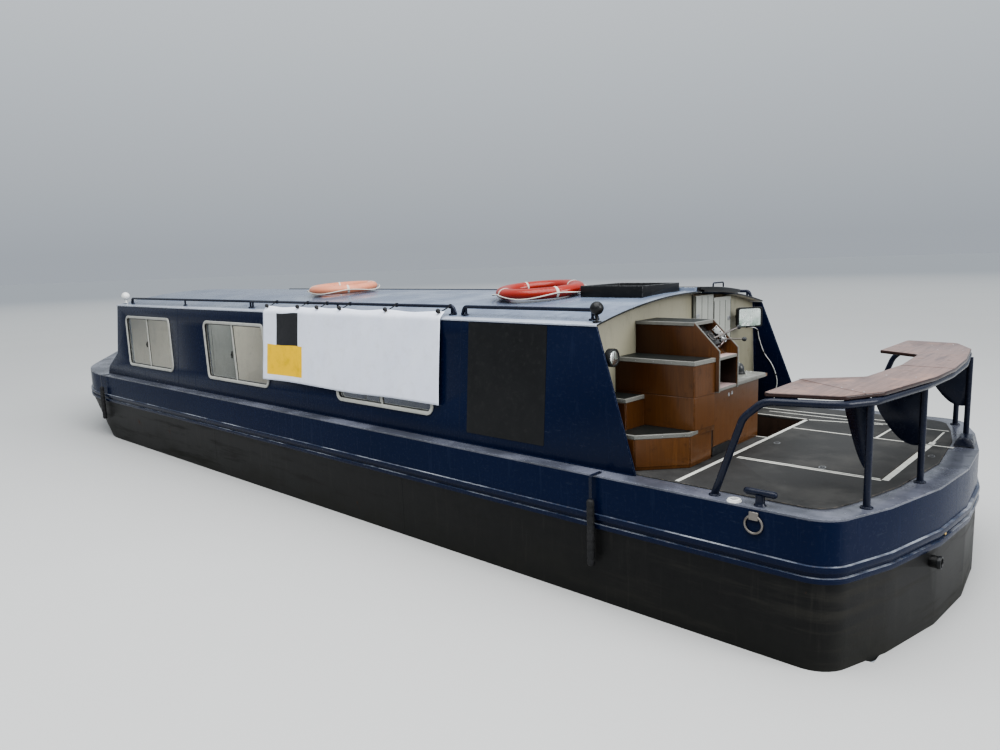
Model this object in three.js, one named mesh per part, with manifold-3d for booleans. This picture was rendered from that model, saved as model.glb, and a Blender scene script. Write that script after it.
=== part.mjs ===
// A steel canal trip boat: hull, cabin, stern deck with its helm lockers, taffrail seat, propeller and rudder.
// Millimetres. +X points to the bow, +Y to port, +Z up. The origin is on the ground under the middle of the hull.
import * as THREE from 'three'
import { mergeVertices } from 'three/addons/utils/BufferGeometryUtils.js'
import Module from 'manifold-3d'

const wasm = await Module()
wasm.setup()

// Driving dimensions of the hull
const HALF_LENGTH = 6200
const HALF_BEAM = 1500
const DECK_TOP = 1300
const DECK_THICK = 12
const GAP = 0.4
const HULL_TOP = DECK_TOP - DECK_THICK - GAP
const HULL_WALL = 50
const BASE_THICK = 90
const SHEER_RISE = 160
const REACH = 2000

// Where the cabin stands on the hull
const CABIN_AFT = -4280
const CABIN_FORE = 3620
const AFT_WING = 337
const FORE_WING = 350
const WING_THICK = 14
const SIDE_BASE_Y = 1374
const SIDE_TOP_Y = 1296
const SIDE_HEIGHT = 953
const SIDE_WALL = 46
const LEAN = (SIDE_BASE_Y - SIDE_TOP_Y) / SIDE_HEIGHT
const ROOF_THICK = 14
const ROOF_LIP = 6
const CAMBER = 145
const ROOF_EDGE_Z = DECK_TOP + SIDE_HEIGHT
const ROOF_RADIUS = (SIDE_TOP_Y ** 2 + CAMBER ** 2) / (2 * CAMBER)
const FLOOR_TOP = 200
const BULKHEAD = { thick: 40, aftX: CABIN_AFT + 70, foreX: CABIN_FORE - 60 }

// Colours and finishes, one for each kind of material
const paint = (color, metalness, roughness) => new THREE.MeshStandardMaterial({ color, metalness, roughness })
const LOOK = {
  hull: paint(0x15181c, 0.2, 0.6),
  navy: paint(0x101d3c, 0.1, 0.35),
  deck: paint(0x8d96a6, 0.1, 0.6),
  roof: paint(0x7f8ca3, 0.1, 0.35),
  cream: paint(0xb9b49d, 0.0, 0.5),
  grey: paint(0x9a9d9f, 0.0, 0.5),
  wood: paint(0x7a3f1d, 0.0, 0.4),
  seat: paint(0x9c6a52, 0.0, 0.5),
  black: paint(0x17181a, 0.1, 0.6),
  board: paint(0x2c2e30, 0.0, 0.85),
  window: paint(0xa9b2b6, 0.9, 0.2),
  steel: paint(0x6b6e72, 0.9, 0.4),
  bronze: paint(0x9a7434, 0.9, 0.35),
  ring: paint(0xd2482f, 0.0, 0.5),
  rubber: paint(0x1b1b1c, 0.0, 0.8),
  white: paint(0xd9dbd8, 0.0, 0.5),
  cloth: paint(0xdfe2e8, 0.0, 0.8),
  bench: paint(0x3a3f52, 0.0, 0.8),
}

const boat = new THREE.Group()

// A closed geometry becomes a solid, and a solid a geometry
function solid(shape) {
  if (!shape.isBufferGeometry) return shape
  const plain = shape.index ? shape.toNonIndexed() : shape.clone()
  plain.deleteAttribute('normal')
  plain.deleteAttribute('uv')
  const merged = mergeVertices(plain, 1e-3)
  return new wasm.Manifold(new wasm.Mesh({
    numProp: 3,
    vertProperties: new Float32Array(merged.attributes.position.array),
    triVerts: new Uint32Array(merged.index.array),
  }))
}

function geometryOf(shape) {
  if (shape.isBufferGeometry) return shape
  const { vertProperties, triVerts } = shape.getMesh()
  const geometry = new THREE.BufferGeometry()
  geometry.setAttribute('position', new THREE.BufferAttribute(new Float32Array(vertProperties), 3))
  geometry.setIndex(new THREE.BufferAttribute(new Uint32Array(triVerts), 1))
  return geometry
}

const join = (...shapes) => shapes.map(solid).reduce((all, next) => all.add(next))
const cut = (body, ...tools) => tools.map(solid).reduce((all, next) => all.subtract(next), solid(body))
const common = (a, b) => solid(a).intersect(solid(b))

function add(name, look, shape, place = [0, 0, 0]) {
  const mesh = new THREE.Mesh(geometryOf(shape), LOOK[look])
  mesh.name = name
  mesh.position.set(...place)
  boat.add(mesh)
}

// A port piece and its mirror image to starboard
function addBoth(name, look, shape) {
  const port = solid(shape)
  add(name.replace('SIDE', 'port'), look, port)
  add(name.replace('SIDE', 'starboard'), look, port.mirror([0, 1, 0]))
}

const outlineOf = (pairs) => pairs.map(([x, y]) => new THREE.Vector2(x, y))

// Corners [x, y, radius] become an outline, each radius as a short arc
function rounded(corners, steps = 6) {
  const points = []
  corners.forEach(([x, y, radius = 0], i) => {
    const here = new THREE.Vector2(x, y)
    if (!radius) {
      points.push(here)
      return
    }
    const [bx, by] = corners[(i + corners.length - 1) % corners.length]
    const [ax, ay] = corners[(i + 1) % corners.length]
    const before = new THREE.Vector2(bx, by).sub(here).normalize()
    const after = new THREE.Vector2(ax, ay).sub(here).normalize()
    const half = Math.acos(before.dot(after)) / 2
    const toCentre = before.clone().add(after).normalize().multiplyScalar(radius / Math.sin(half))
    const centre = here.clone().add(toCentre)
    const start = before.clone().multiplyScalar(radius / Math.tan(half)).sub(toCentre)
    const sweep = (2 * half - Math.PI) * Math.sign(before.cross(after))
    for (let k = 0; k <= steps; k++) {
      points.push(start.clone().rotateAround(new THREE.Vector2(), sweep * k / steps).add(centre))
    }
  })
  return points
}

// An outline in plan, raised from one height to another
function plate(outline, low, high, holes = []) {
  const shape = new THREE.Shape(outline)
  shape.holes = holes.map((hole) => new THREE.Path(hole))
  return new THREE.ExtrudeGeometry(shape, { depth: high - low, bevelEnabled: false }).translate(0, 0, low)
}

// An outline in side view, x and z, run from one y to another
function sidePlate(outline, low, high, holes = []) {
  return plate(outline, 0, high - low, holes).rotateX(Math.PI / 2).translate(0, high, 0)
}

// An outline in end view, y and z, run from one x to another
function endPlate(outline, low, high, holes = []) {
  const turn = new THREE.Matrix4().makeBasis(
    new THREE.Vector3(0, 1, 0), new THREE.Vector3(0, 0, 1), new THREE.Vector3(1, 0, 0))
  return plate(outline, 0, high - low, holes).applyMatrix4(turn).translate(low, 0, 0)
}

function box(x0, x1, y0, y1, z0, z1) {
  return new THREE.BoxGeometry(x1 - x0, y1 - y0, z1 - z0)
    .translate((x0 + x1) / 2, (y0 + y1) / 2, (z0 + z1) / 2)
}

// A round bar between two points
function rod(from, to, radius, sides = 12) {
  const a = new THREE.Vector3(...from)
  const b = new THREE.Vector3(...to)
  const along = b.clone().sub(a)
  const geometry = new THREE.CylinderGeometry(radius, radius, along.length(), sides)
  const turn = new THREE.Quaternion().setFromUnitVectors(new THREE.Vector3(0, 1, 0), along.normalize())
  return geometry.applyQuaternion(turn).translate(...a.add(b).multiplyScalar(0.5).toArray())
}

const ball = (at, radius, sides = 12) =>
  new THREE.SphereGeometry(radius, sides, sides / 2 + 2).translate(...at)

// A tube along a list of points, mitred at its bends
function bentTube(points, radius, sides = 8) {
  const path = points.map((p) => new THREE.Vector3(...p))
  const along = path.slice(1).map((p, i) => p.clone().sub(path[i]).normalize())
  const start = along[0].clone()
  const side = new THREE.Vector3(0, 0, 1).cross(start).normalize()
  const rings = path.map((p, i) => {
    const before = along[Math.max(i - 1, 0)]
    const after = along[Math.min(i, along.length - 1)]
    const mid = before.clone().add(after).normalize()
    const stretch = 1 / mid.dot(after)
    side.applyQuaternion(new THREE.Quaternion().setFromUnitVectors(start, mid))
    start.copy(mid)
    const rise = new THREE.Vector3().crossVectors(mid, side)
    const bend = after.clone().sub(before)
    const bendDir = bend.length() > 1e-6 ? bend.normalize() : rise
    return [...Array(sides).keys()].map((k) => {
      const angle = 2 * Math.PI * (k + 0.5) / sides
      const out = side.clone().multiplyScalar(Math.cos(angle)).addScaledVector(rise, Math.sin(angle))
      out.addScaledVector(bendDir, out.dot(bendDir) * (stretch - 1))
      return out.multiplyScalar(radius).add(p)
    })
  })
  const faces = []
  const last = (rings.length - 1) * sides
  for (let i = 0; i + 1 < rings.length; i++) {
    for (let k = 0; k < sides; k++) {
      const [a, b] = [i * sides + k, i * sides + (k + 1) % sides]
      faces.push(a, b, b + sides, a, b + sides, a + sides)
    }
  }
  for (let k = 1; k + 1 < sides; k++) faces.push(0, k + 1, k, last, last + k, last + k + 1)
  const geometry = new THREE.BufferGeometry().setFromPoints(rings.flat())
  geometry.setIndex(faces)
  return geometry
}

// Moves each corner of a shape by a rule
function warp(shape, rule) {
  const geometry = geometryOf(shape).clone()
  const at = geometry.attributes.position
  const point = new THREE.Vector3()
  for (let i = 0; i < at.count; i++) {
    rule(point.fromBufferAttribute(at, i))
    at.setXYZ(i, point.x, point.y, point.z)
  }
  return geometry
}

const roofHeight = (y) => ROOF_EDGE_Z + CAMBER - ROOF_RADIUS + Math.sqrt(ROOF_RADIUS ** 2 - y * y)

// The gunwale line in plan: a bowed transom, straight sides and a rounded bow
const TRANSOM = { sag: 330, corner: 210 }
const BOW = { shoulderX: CABIN_AFT + 8764, shoulderRadius: 1200, tipX: CABIN_AFT + 10759, tipRadius: 420 }
const KEEL_BOW = { shoulderX: 3300, shoulderRadius: 900, tipX: 5600, tipRadius: 60 }
const ARC_STEPS = 8

// The bow's corners at one inset from the outer line: a shoulder and the stem
function bowCorners(bow, inset) {
  const angle = Math.atan2(HALF_BEAM, bow.tipX - bow.shoulderX)
  const shoulder = [bow.shoulderX - inset * Math.tan(angle / 2), HALF_BEAM - inset, bow.shoulderRadius - inset]
  const stem = [bow.tipX - inset / Math.sin(angle), 0, Math.max(bow.tipRadius - inset, 15)]
  return { shoulder, stem }
}

function hullPlan(inset) {
  const y = HALF_BEAM - inset
  const { shoulder, stem } = bowCorners(BOW, inset)
  const transomX = (part) => -HALF_LENGTH + inset + TRANSOM.sag * (part * y / HALF_BEAM) ** 2
  const half = [
    [transomX(0.35), 0.35 * y], [transomX(0.7), 0.7 * y], [transomX(1), y, TRANSOM.corner - inset], shoulder,
  ]
  const other = half.map(([x, side, radius]) => [x, -side, radius])
  return rounded([[transomX(0), 0], ...other, stem, ...half.reverse()], ARC_STEPS)
}

// A closed skin between two rings of the same count, listed anticlockwise as seen from above
function loft(lower, upper) {
  const count = lower.length
  const flat = (ring) => ring.map((p) => new THREE.Vector2(p.x, p.y))
  const faces = []
  THREE.ShapeUtils.triangulateShape(flat(lower), []).forEach(([a, b, c]) => faces.push(a, c, b))
  THREE.ShapeUtils.triangulateShape(flat(upper), []).forEach(([a, b, c]) => {
    faces.push(a + count, b + count, c + count)
  })
  for (let i = 0; i < count; i++) {
    const next = (i + 1) % count
    faces.push(i, next, next + count, i, next + count, i + count)
  }
  const geometry = new THREE.BufferGeometry().setFromPoints([...lower, ...upper])
  geometry.setIndex(faces)
  return geometry
}

// The hull narrows below the strakes: the keel line and the gunwale line are joined by straight ribs
const FORE_BODY_X = -3600
const STRAKES = [{ low: 950, high: 980, proud: 18 }, { low: 1010, high: 1044, proud: 18 }]
const KNUCKLE_Z = STRAKES[0].low

function foreBody(inset, low, high) {
  const y = HALF_BEAM - inset
  const ring = (bow) => {
    const { shoulder, stem } = bowCorners(bow, inset)
    const [x, side, radius] = shoulder
    return rounded([[FORE_BODY_X, -y], [x, -side, radius], stem, shoulder, [FORE_BODY_X, y]], ARC_STEPS)
  }
  const keel = ring(KEEL_BOW)
  const knuckle = ring(BOW)
  const at = (z) => keel.map((p, i) => {
    const { x, y: side } = p.clone().lerp(knuckle[i], z / KNUCKLE_Z)
    return new THREE.Vector3(x, side, z)
  })
  return loft(at(low), at(high))
}

// Below the counter the sides draw in to the stern post
const COUNTER_Z = 430
const SWIM = { startX: -3700, postX: -5150, postHalf: 40 }
const LAP = 40

function swimPlan(inset) {
  const y = HALF_BEAM - inset
  const postX = SWIM.postX + 2 * inset
  const half = Math.max(SWIM.postHalf - inset, 12)
  return outlineOf([
    [FORE_BODY_X + LAP, -y], [FORE_BODY_X + LAP, y], [SWIM.startX, y],
    [postX, half], [postX, -half], [SWIM.startX, -y],
  ])
}

// Half width inside the swim at one x, and the height where the counter's floor begins
const BILGE_Z = COUNTER_Z + HULL_WALL + 8
function swimHalf(x) {
  const postX = SWIM.postX + 2 * HULL_WALL
  return (HALF_BEAM - HULL_WALL) * (x - postX) / (SWIM.startX - postX) - 12
}

const counter = (inset, low, high) =>
  common(plate(hullPlan(inset), low, high), box(-2 * HALF_LENGTH, FORE_BODY_X + LAP, -REACH, REACH, low, high))

// The deck line rises in a straight ramp to the stem, and the hull below stretches with it
const SHEER_START = CABIN_FORE + FORE_WING
const sheerAt = (x) => SHEER_RISE * Math.max(0, x - SHEER_START) / (HALF_LENGTH - SHEER_START)

function sheer(shape, share) {
  const span = [-REACH, REACH, -REACH, 2 * REACH]
  const level = common(shape, box(-2 * HALF_LENGTH, SHEER_START, ...span))
  const ramp = common(shape, box(SHEER_START, 2 * HALF_LENGTH, ...span))
  return join(level, warp(ramp, (p) => { p.z += sheerAt(p.x) * share(p.z) }))
}

// Propeller, shaft and rudder
const SHAFT = { z: 225, radius: 20, foreX: -4966 }
const PROP = { x: -5330, radius: 182, hubHalf: 60, blades: 3, pitch: 32, bladeHalf: 4 }
const RUDDER = { x: -5640, fore: 130, aft: 380, low: 70, high: 400, half: 11, stock: 20, top: 900, pintle: 10 }
const STERN_TUBE = { length: 75, radius: 38 }
const SKEG = { half: 32, top: 26, cupTop: 60, cupHalf: 45 }
const EXHAUST = { y: 600, z: 870, radius: 36, bore: 28, outX: -6195, inX: -6135, depth: 45 }

function makeHull() {
  const bands = STRAKES.map(({ low, high, proud }) => plate(hullPlan(-proud), low, high))
  const shaftAt = (x) => [x, 0, SHAFT.z]
  const outer = join(
    foreBody(0, 0, KNUCKLE_Z),
    plate(hullPlan(0), KNUCKLE_Z, HULL_TOP),
    counter(0, COUNTER_Z, KNUCKLE_Z),
    plate(swimPlan(0), 0, COUNTER_Z),
    ...bands)
  const hollow = join(
    foreBody(HULL_WALL, BASE_THICK, KNUCKLE_Z),
    plate(hullPlan(HULL_WALL), KNUCKLE_Z, HULL_TOP + 1),
    counter(HULL_WALL, COUNTER_Z + HULL_WALL, KNUCKLE_Z),
    plate(swimPlan(HULL_WALL), BASE_THICK, COUNTER_Z + HULL_WALL))
  const tube = rod(shaftAt(SWIM.postX - STERN_TUBE.length), shaftAt(SWIM.postX + 60), STERN_TUBE.radius, 16)
  const skeg = join(
    box(RUDDER.x - 70, SWIM.postX + 20, -SKEG.half, SKEG.half, 0, SKEG.top),
    box(RUDDER.x - SKEG.cupHalf, RUDDER.x + SKEG.cupHalf, -SKEG.half, SKEG.half, 0, SKEG.cupTop))
  const pipeAt = (x) => [x, EXHAUST.y, EXHAUST.z]
  const pipe = rod(pipeAt(EXHAUST.outX), pipeAt(EXHAUST.inX), EXHAUST.radius, 16)
  const body = cut(join(cut(outer, hollow), tube, skeg, pipe),
    rod(pipeAt(EXHAUST.outX - 5), pipeAt(EXHAUST.outX + EXHAUST.depth), EXHAUST.bore, 16),
    rod(shaftAt(SWIM.postX - 90), shaftAt(SWIM.postX + 160), SHAFT.radius + 8, 16),
    rod([RUDDER.x, 0, COUNTER_Z - 20], [RUDDER.x, 0, COUNTER_Z + 90], RUDDER.stock + 8, 16),
    rod([RUDDER.x, 0, SKEG.cupTop / 2], [RUDDER.x, 0, 2 * SKEG.cupTop], RUDDER.pintle + 6, 12))
  add('hull', 'hull', sheer(body, (z) => Math.min(1, z / HULL_TOP)))
}

function makeRunningGear() {
  const hub = new THREE.LatheGeometry(
    outlineOf([[0, -60], [34, -55], [42, 0], [40, 50], [0, PROP.hubHalf]]), 18)
  const outline = rounded([[16, 20], [52, 60, 20], [78, 130, 50], [40, PROP.radius, 40],
    [-50, PROP.radius, 40], [-72, 120, 50], [-40, 50, 20], [-16, 20]], 4)
  const blades = [...Array(PROP.blades).keys()].map((k) => plate(outline, -PROP.bladeHalf, PROP.bladeHalf)
    .rotateY(THREE.MathUtils.degToRad(PROP.pitch)).rotateX(Math.PI / 2).rotateY(2 * Math.PI * k / PROP.blades))
  const screw = geometryOf(join(hub, ...blades)).rotateZ(Math.PI / 2).translate(PROP.x, 0, SHAFT.z)
  add('propeller', 'bronze', join(screw, rod([PROP.x, 0, SHAFT.z], [SHAFT.foreX, 0, SHAFT.z], SHAFT.radius, 16)))

  const { x, fore, aft, low, high, half, stock, top, pintle } = RUDDER
  const blade = sidePlate(rounded([
    [x - aft, low, 40], [x + fore, low, 20], [x + fore, high, 20], [x - aft, high, 40]], 4), -half, half)
  add('rudder', 'hull', join(blade,
    rod([x, 0, low], [x, 0, top], stock, 16),
    rod([x, 0, SKEG.cupTop / 2 + 6], [x, 0, low + 10], pintle, 12),
    box(x - 190, x + 30, -20, 20, top - 40, top - 5)))

  add('engine', 'steel', join(
    box(-5540, -4890, -300, 300, 490, 1120),
    box(SHAFT.foreX + 6, -4890, -80, 80, 140, 520)))
}

// One deck skin runs round the whole boat: gunwales, stern margin and fore deck with its sunken well
const DECK_INNER_Y = 1268
const BEARER = { depth: 60, half: 30 }
const BOARDS = { y: 1345, aftX: CABIN_AFT - 1750, sag: 250, corner: 160, thick: 18 }
const LINES = { fore: CABIN_AFT - 620, aft: CABIN_AFT - 1570 }
const ENGINE_BOARD = { y0: -455, y1: 590 }
const WELL = { aftX: BULKHEAD.foreX + BULKHEAD.thick + 4, floor: 970, wall: 14 }
const WELL_PLAN = [[WELL.aftX, 1130], [WELL.aftX + 1120, 1050, 200], [WELL.aftX + 1810, 560, 220]]

function boardPlan(inset) {
  const y = BOARDS.y - inset
  const aftX = (part) => BOARDS.aftX + inset + BOARDS.sag * (part * y / BOARDS.y) ** 2
  const half = [[aftX(0.5), 0.5 * y], [aftX(0.8), 0.8 * y], [aftX(1), y, BOARDS.corner], [BULKHEAD.aftX - 6, y]]
  const other = half.map(([x, side, radius]) => [x, -side, radius])
  return rounded([[aftX(0), 0], ...other, ...half.reverse()], 6)
}

function wellPlan(out) {
  const half = WELL_PLAN.map(([x, y, radius]) => [x + (x > WELL.aftX ? out : 0), y + out, radius])
  const other = half.map(([x, y, radius]) => [x, -y, radius])
  return rounded([...other, ...half.reverse()], 5)
}

function makeDeck() {
  const low = HULL_TOP + GAP
  const under = low - BEARER.depth
  const cabinHole = box(BULKHEAD.aftX - 60, WELL.aftX, -DECK_INNER_Y, DECK_INNER_Y, under - 100, DECK_TOP + 5)
  const skin = cut(plate(hullPlan(0), low, DECK_TOP), plate(boardPlan(-1.5), low - 5, DECK_TOP + 5), cabinHole,
    plate(wellPlan(0), low - 5, DECK_TOP + 5))
  const ledge = cut(plate(boardPlan(-60), under, low),
    plate(boardPlan(40), under - 5, low + 5), cabinHole,
    box(BULKHEAD.aftX - 62, BULKHEAD.aftX + 1, -REACH, REACH, under - 5, low + 5))
  const across = [LINES.aft, LINES.fore].map((x) =>
    box(x - BEARER.half, x + BEARER.half, -BOARDS.y + 10, BOARDS.y - 10, under, low))
  const along = [ENGINE_BOARD.y0, ENGINE_BOARD.y1].map((y) =>
    box(LINES.aft, LINES.fore, y - BEARER.half, y + BEARER.half, under, low))
  const tray = cut(plate(wellPlan(WELL.wall), WELL.floor, low),
    plate(wellPlan(0), WELL.floor + WELL.wall, low + 5),
    box(WELL.aftX - 5, WELL.aftX, -REACH, REACH, 0, REACH))
  const lower = common(join(ledge, ...across, ...along), plate(hullPlan(HULL_WALL + 2), under - 1, low))
  const all = join(skin, lower, tray)
  add('deck', 'deck', sheer(all, (z) => (z > WELL.floor + 2 * WELL.wall ? 1 : 0)))
}

// The stern floor: non-slip boards with a lift-out board over the engine and a well for the steps
const STEP_WELL = { y0: -815, y1: -72, wall: 18, base: 560, rise: 185 }

function makeSternFloor() {
  const low = HULL_TOP + 2 * GAP
  const high = low + BOARDS.thick
  add('stern_boards', 'board', cut(plate(boardPlan(1), low, high),
    box(LINES.aft, LINES.fore, ENGINE_BOARD.y0, ENGINE_BOARD.y1, low - 5, high + 5),
    box(LINES.fore + BEARER.half + 2, BULKHEAD.aftX, STEP_WELL.y0, STEP_WELL.y1, low - 5, high + 5)))
  add('engine_board', 'board', box(
    LINES.aft + 4, LINES.fore - 4, ENGINE_BOARD.y0 + 4, ENGINE_BOARD.y1 - 4, low, high))

  const { y0, y1, wall, base, rise } = STEP_WELL
  const aft = LINES.fore + BEARER.half + 2
  const fore = BULKHEAD.aftX - 2
  const shell = cut(box(aft, fore, y0 - wall, y1 + wall, base, HULL_TOP),
    box(aft + wall, fore + 10, y0, y1, base + wall, REACH))
  const treads = [1, 2, 3].map((k) =>
    box(aft + wall / 2, aft + 500 - 110 * k, y0 - 5, y1 + 5, base + 10, base + k * rise))
  add('companion_steps', 'wood', join(shell, ...treads))
}

// Cabin sides stand on the gunwales and lean in. Their wings run past both bulkheads
const WINDOW = { width: 1310, height: 655, low: 165, rake: 142, radius: 75, flange: 12, rim: 34, hole: 24 }
// Aft lower corner of each window, ahead of the roof's aft corner
const WINDOWS = [{ name: 'fore', x: 6184 }, { name: 'middle', x: 4008 }, { name: 'aft', x: 1540 }]
const SIDE_TOP = SIDE_HEIGHT - ROOF_THICK - 1.5
const SIDE_OUTLINE = [
  [CABIN_AFT - AFT_WING, 0], [CABIN_FORE + FORE_WING, 0], [CABIN_FORE + FORE_WING - 30, 100],
  [CABIN_FORE + 25, 300], [CABIN_FORE, SIDE_TOP], [CABIN_AFT, SIDE_TOP],
]

function windowOutline(x, inset) {
  const radius = WINDOW.radius - inset
  const x0 = CABIN_AFT + x + inset
  const x1 = x0 + WINDOW.width - 2 * inset
  const z0 = WINDOW.low + inset
  const z1 = WINDOW.low + WINDOW.height - inset
  const rake = WINDOW.rake * (z1 - z0) / WINDOW.height
  return rounded([[x0, z0, radius], [x1, z0, radius], [x1 + rake, z1, radius], [x0 + rake, z1, radius]], 2)
}

// Side pieces are drawn upright from the deck, then leaned in
const leanIn = (shape) => warp(shape, (p) => {
  p.y -= LEAN * p.z
  p.z += DECK_TOP + GAP
})

function makeCabinSides() {
  const holes = WINDOWS.map(({ x }) => windowOutline(x, WINDOW.hole))
  const inner = SIDE_BASE_Y - SIDE_WALL
  const wing = (x0, x1) => box(x0, x1, inner - 5, SIDE_BASE_Y - WING_THICK, -5, REACH)
  const panel = cut(sidePlate(outlineOf(SIDE_OUTLINE), inner, SIDE_BASE_Y, holes),
    wing(CABIN_AFT - AFT_WING - 5, BULKHEAD.aftX - 2),
    wing(BULKHEAD.foreX + BULKHEAD.thick + 4, CABIN_FORE + FORE_WING + 5))
  addBoth('cabin_side_SIDE', 'navy', leanIn(panel))

  for (const { name, x } of WINDOWS) {
    const middle = CABIN_AFT + x + WINDOW.width / 2
    const [low, high] = [WINDOW.low + WINDOW.rim - 3, WINDOW.low + WINDOW.height - WINDOW.rim + 3]
    const bar = outlineOf([[middle - 14, low], [middle + 14, low],
      [middle + 14 + WINDOW.rake, high], [middle - 14 + WINDOW.rake, high]])
    const window = join(
      sidePlate(windowOutline(x, 0), SIDE_BASE_Y + GAP, SIDE_BASE_Y + WINDOW.flange, [windowOutline(x, WINDOW.rim)]),
      sidePlate(windowOutline(x, WINDOW.hole + 2), SIDE_BASE_Y - 26, SIDE_BASE_Y + 1, [windowOutline(x, WINDOW.rim)]),
      sidePlate(windowOutline(x, WINDOW.rim - 2), SIDE_BASE_Y - 14, SIDE_BASE_Y - 7),
      sidePlate(bar, SIDE_BASE_Y - 14, SIDE_BASE_Y + WINDOW.flange - 4))
    addBoth(`window_SIDE_${name}`, 'window', leanIn(window))
  }
}

// Bulkheads with a doorway each. The aft doorway lies to starboard and is open at the top, under the hatch
const AFT_DOOR = { y0: -725, y1: -140, meet: -432, low: 775, lap: 18, thick: 26, off: 6 }
const FORE_DOOR = { y0: -320, y1: 320, meet: 0, low: 1030, high: DECK_TOP + 840, lap: 18 }
const LEAF_GAP = 3.5

function bulkheadOutline(x) {
  const low = FLOOR_TOP + 2
  const step = DECK_TOP + 1
  const foot = x < 0 ? swimHalf(x) : DECK_INNER_Y - 4
  const narrow = DECK_INNER_Y - 4
  const edge = (z) => SIDE_BASE_Y - SIDE_WALL - 3 - LEAN * (z - DECK_TOP)
  const top = ROOF_EDGE_Z - ROOF_THICK - 4
  const half = [[foot, low], [foot, BILGE_Z], [narrow, BILGE_Z], [narrow, step], [edge(step), step], [edge(top), top]]
  const arc = [0.8, 0.6, 0.4, 0.2].map((part) => [edge(top) * part, roofHeight(edge(top) * part) - ROOF_THICK - 3])
  const port = [...half, ...arc]
  const crown = [0, roofHeight(0) - ROOF_THICK - 3]
  return outlineOf([...port, crown, ...port.map(([y, z]) => [-y, z]).reverse()])
}

function makeBulkheads() {
  const doorway = (x, { y0, y1, low }, high) => box(x - 5, x + BULKHEAD.thick + 5, y0, y1, low, high)
  const wall = (x) => endPlate(bulkheadOutline(x), x, x + BULKHEAD.thick)
  add('aft_bulkhead', 'cream', cut(wall(BULKHEAD.aftX), doorway(BULKHEAD.aftX, AFT_DOOR, 2 * REACH)))
  add('fore_bulkhead', 'navy', cut(wall(BULKHEAD.foreX), doorway(BULKHEAD.foreX, FORE_DOOR, FORE_DOOR.high)))
}

function makeDoors() {
  const { lap, thick, off } = AFT_DOOR
  const aftX = BULKHEAD.aftX - thick - off
  const leaf = (x, y0, y1, z0, z1) => box(x, x + thick, y0, y1, z0, z1)
  const under = (y) => roofHeight(y) - ROOF_THICK - 10
  const outerPort = AFT_DOOR.y1 + lap
  const outerStarboard = AFT_DOOR.y0 - lap
  add('aft_door_port', 'grey',
    leaf(aftX, AFT_DOOR.meet + LEAF_GAP, outerPort, AFT_DOOR.low - 10, under(AFT_DOOR.meet)))
  add('aft_door_starboard', 'grey',
    leaf(aftX, outerStarboard, AFT_DOOR.meet - LEAF_GAP, AFT_DOOR.low - 10, under(outerStarboard)))
  const foreX = BULKHEAD.foreX + BULKHEAD.thick + off
  addBoth('fore_door_SIDE', 'grey',
    leaf(foreX, LEAF_GAP, FORE_DOOR.y1 + lap, FORE_DOOR.low - 10, FORE_DOOR.high + lap))
}

// Cambered roof with a hatch that slides forward from over the doors
const HATCH = { x0: CABIN_AFT - 20, x1: CABIN_AFT + 690, y0: -800, y1: -105, travel: 600, lift: 12, thick: 22 }
const RUNNER = { off: 6, width: 22, high: 30 }

// A band that follows the roof's camber, between two heights above it
function arcBand(y0, y1, low, high, steps) {
  const at = (k) => y0 + (y1 - y0) * k / steps
  const row = (lift) => [...Array(steps + 1).keys()].map((k) => [at(k), roofHeight(at(k)) + lift])
  return outlineOf([...row(low), ...row(high).reverse()])
}

function makeRoof() {
  const { x0, x1, y0, y1, travel, lift, thick } = HATCH
  const edge = SIDE_TOP_Y + ROOF_LIP
  const skin = cut(endPlate(arcBand(-edge, edge, -ROOF_THICK, 0, 28), CABIN_AFT, CABIN_FORE + 12),
    box(CABIN_AFT - 5, x1 - 60, y0 + 40, y1 - 40, ROOF_EDGE_Z - 100, ROOF_EDGE_Z + 300))
  const runners = [y1 + RUNNER.off, y0 - RUNNER.off - RUNNER.width].map((y) =>
    endPlate(arcBand(y, y + RUNNER.width, -2, RUNNER.high, 1), CABIN_AFT + 20, x1 + travel + 20))
  add('roof', 'roof', join(skin, ...runners))
  add('hatch', 'black', join(
    endPlate(arcBand(y0, y1, lift, lift + thick, 6), x0, x1),
    endPlate(arcBand(y0 + 48, y1 - 48, -8, lift + 4, 6), x0, x0 + 30)))
}

// A low tray and two life rings lie on the roof
const TRAY = { x0: CABIN_AFT + 150, x1: CABIN_AFT + 720, y0: -60, y1: 490, wall: 18, depth: 40, top: 70 }
const RING = { radius: 310, tube: 62, squash: 0.75 }
const RINGS = [{ name: 'aft', x: 1150, y: 470 }, { name: 'fore', x: 4050, y: 350 }]

function makeRoofLoads() {
  const { x0, x1, y0, y1, wall, depth } = TRAY
  const top = roofHeight(0) + TRAY.top
  add('roof_tray', 'black', cut(box(x0, x1, y0, y1, ROOF_EDGE_Z, top),
    box(x0 + wall, x1 - wall, y0 + wall, y1 - wall, top - depth, top + 10),
    endPlate(arcBand(-SIDE_TOP_Y, SIDE_TOP_Y, -400, 2, 28), CABIN_AFT, CABIN_FORE)))
  for (const { name, x, y } of RINGS) {
    const tilt = Math.asin(y / ROOF_RADIUS)
    const ring = new THREE.TorusGeometry(RING.radius, RING.tube, 8, 24).scale(1, 1, RING.squash).rotateX(-tilt)
    const lift = RING.tube * RING.squash + RING.radius ** 2 / (2 * ROOF_RADIUS) + 2
    add(`life_ring_${name}`, 'ring', ring, [CABIN_AFT + x, y, roofHeight(y) + lift])
  }
}

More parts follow.
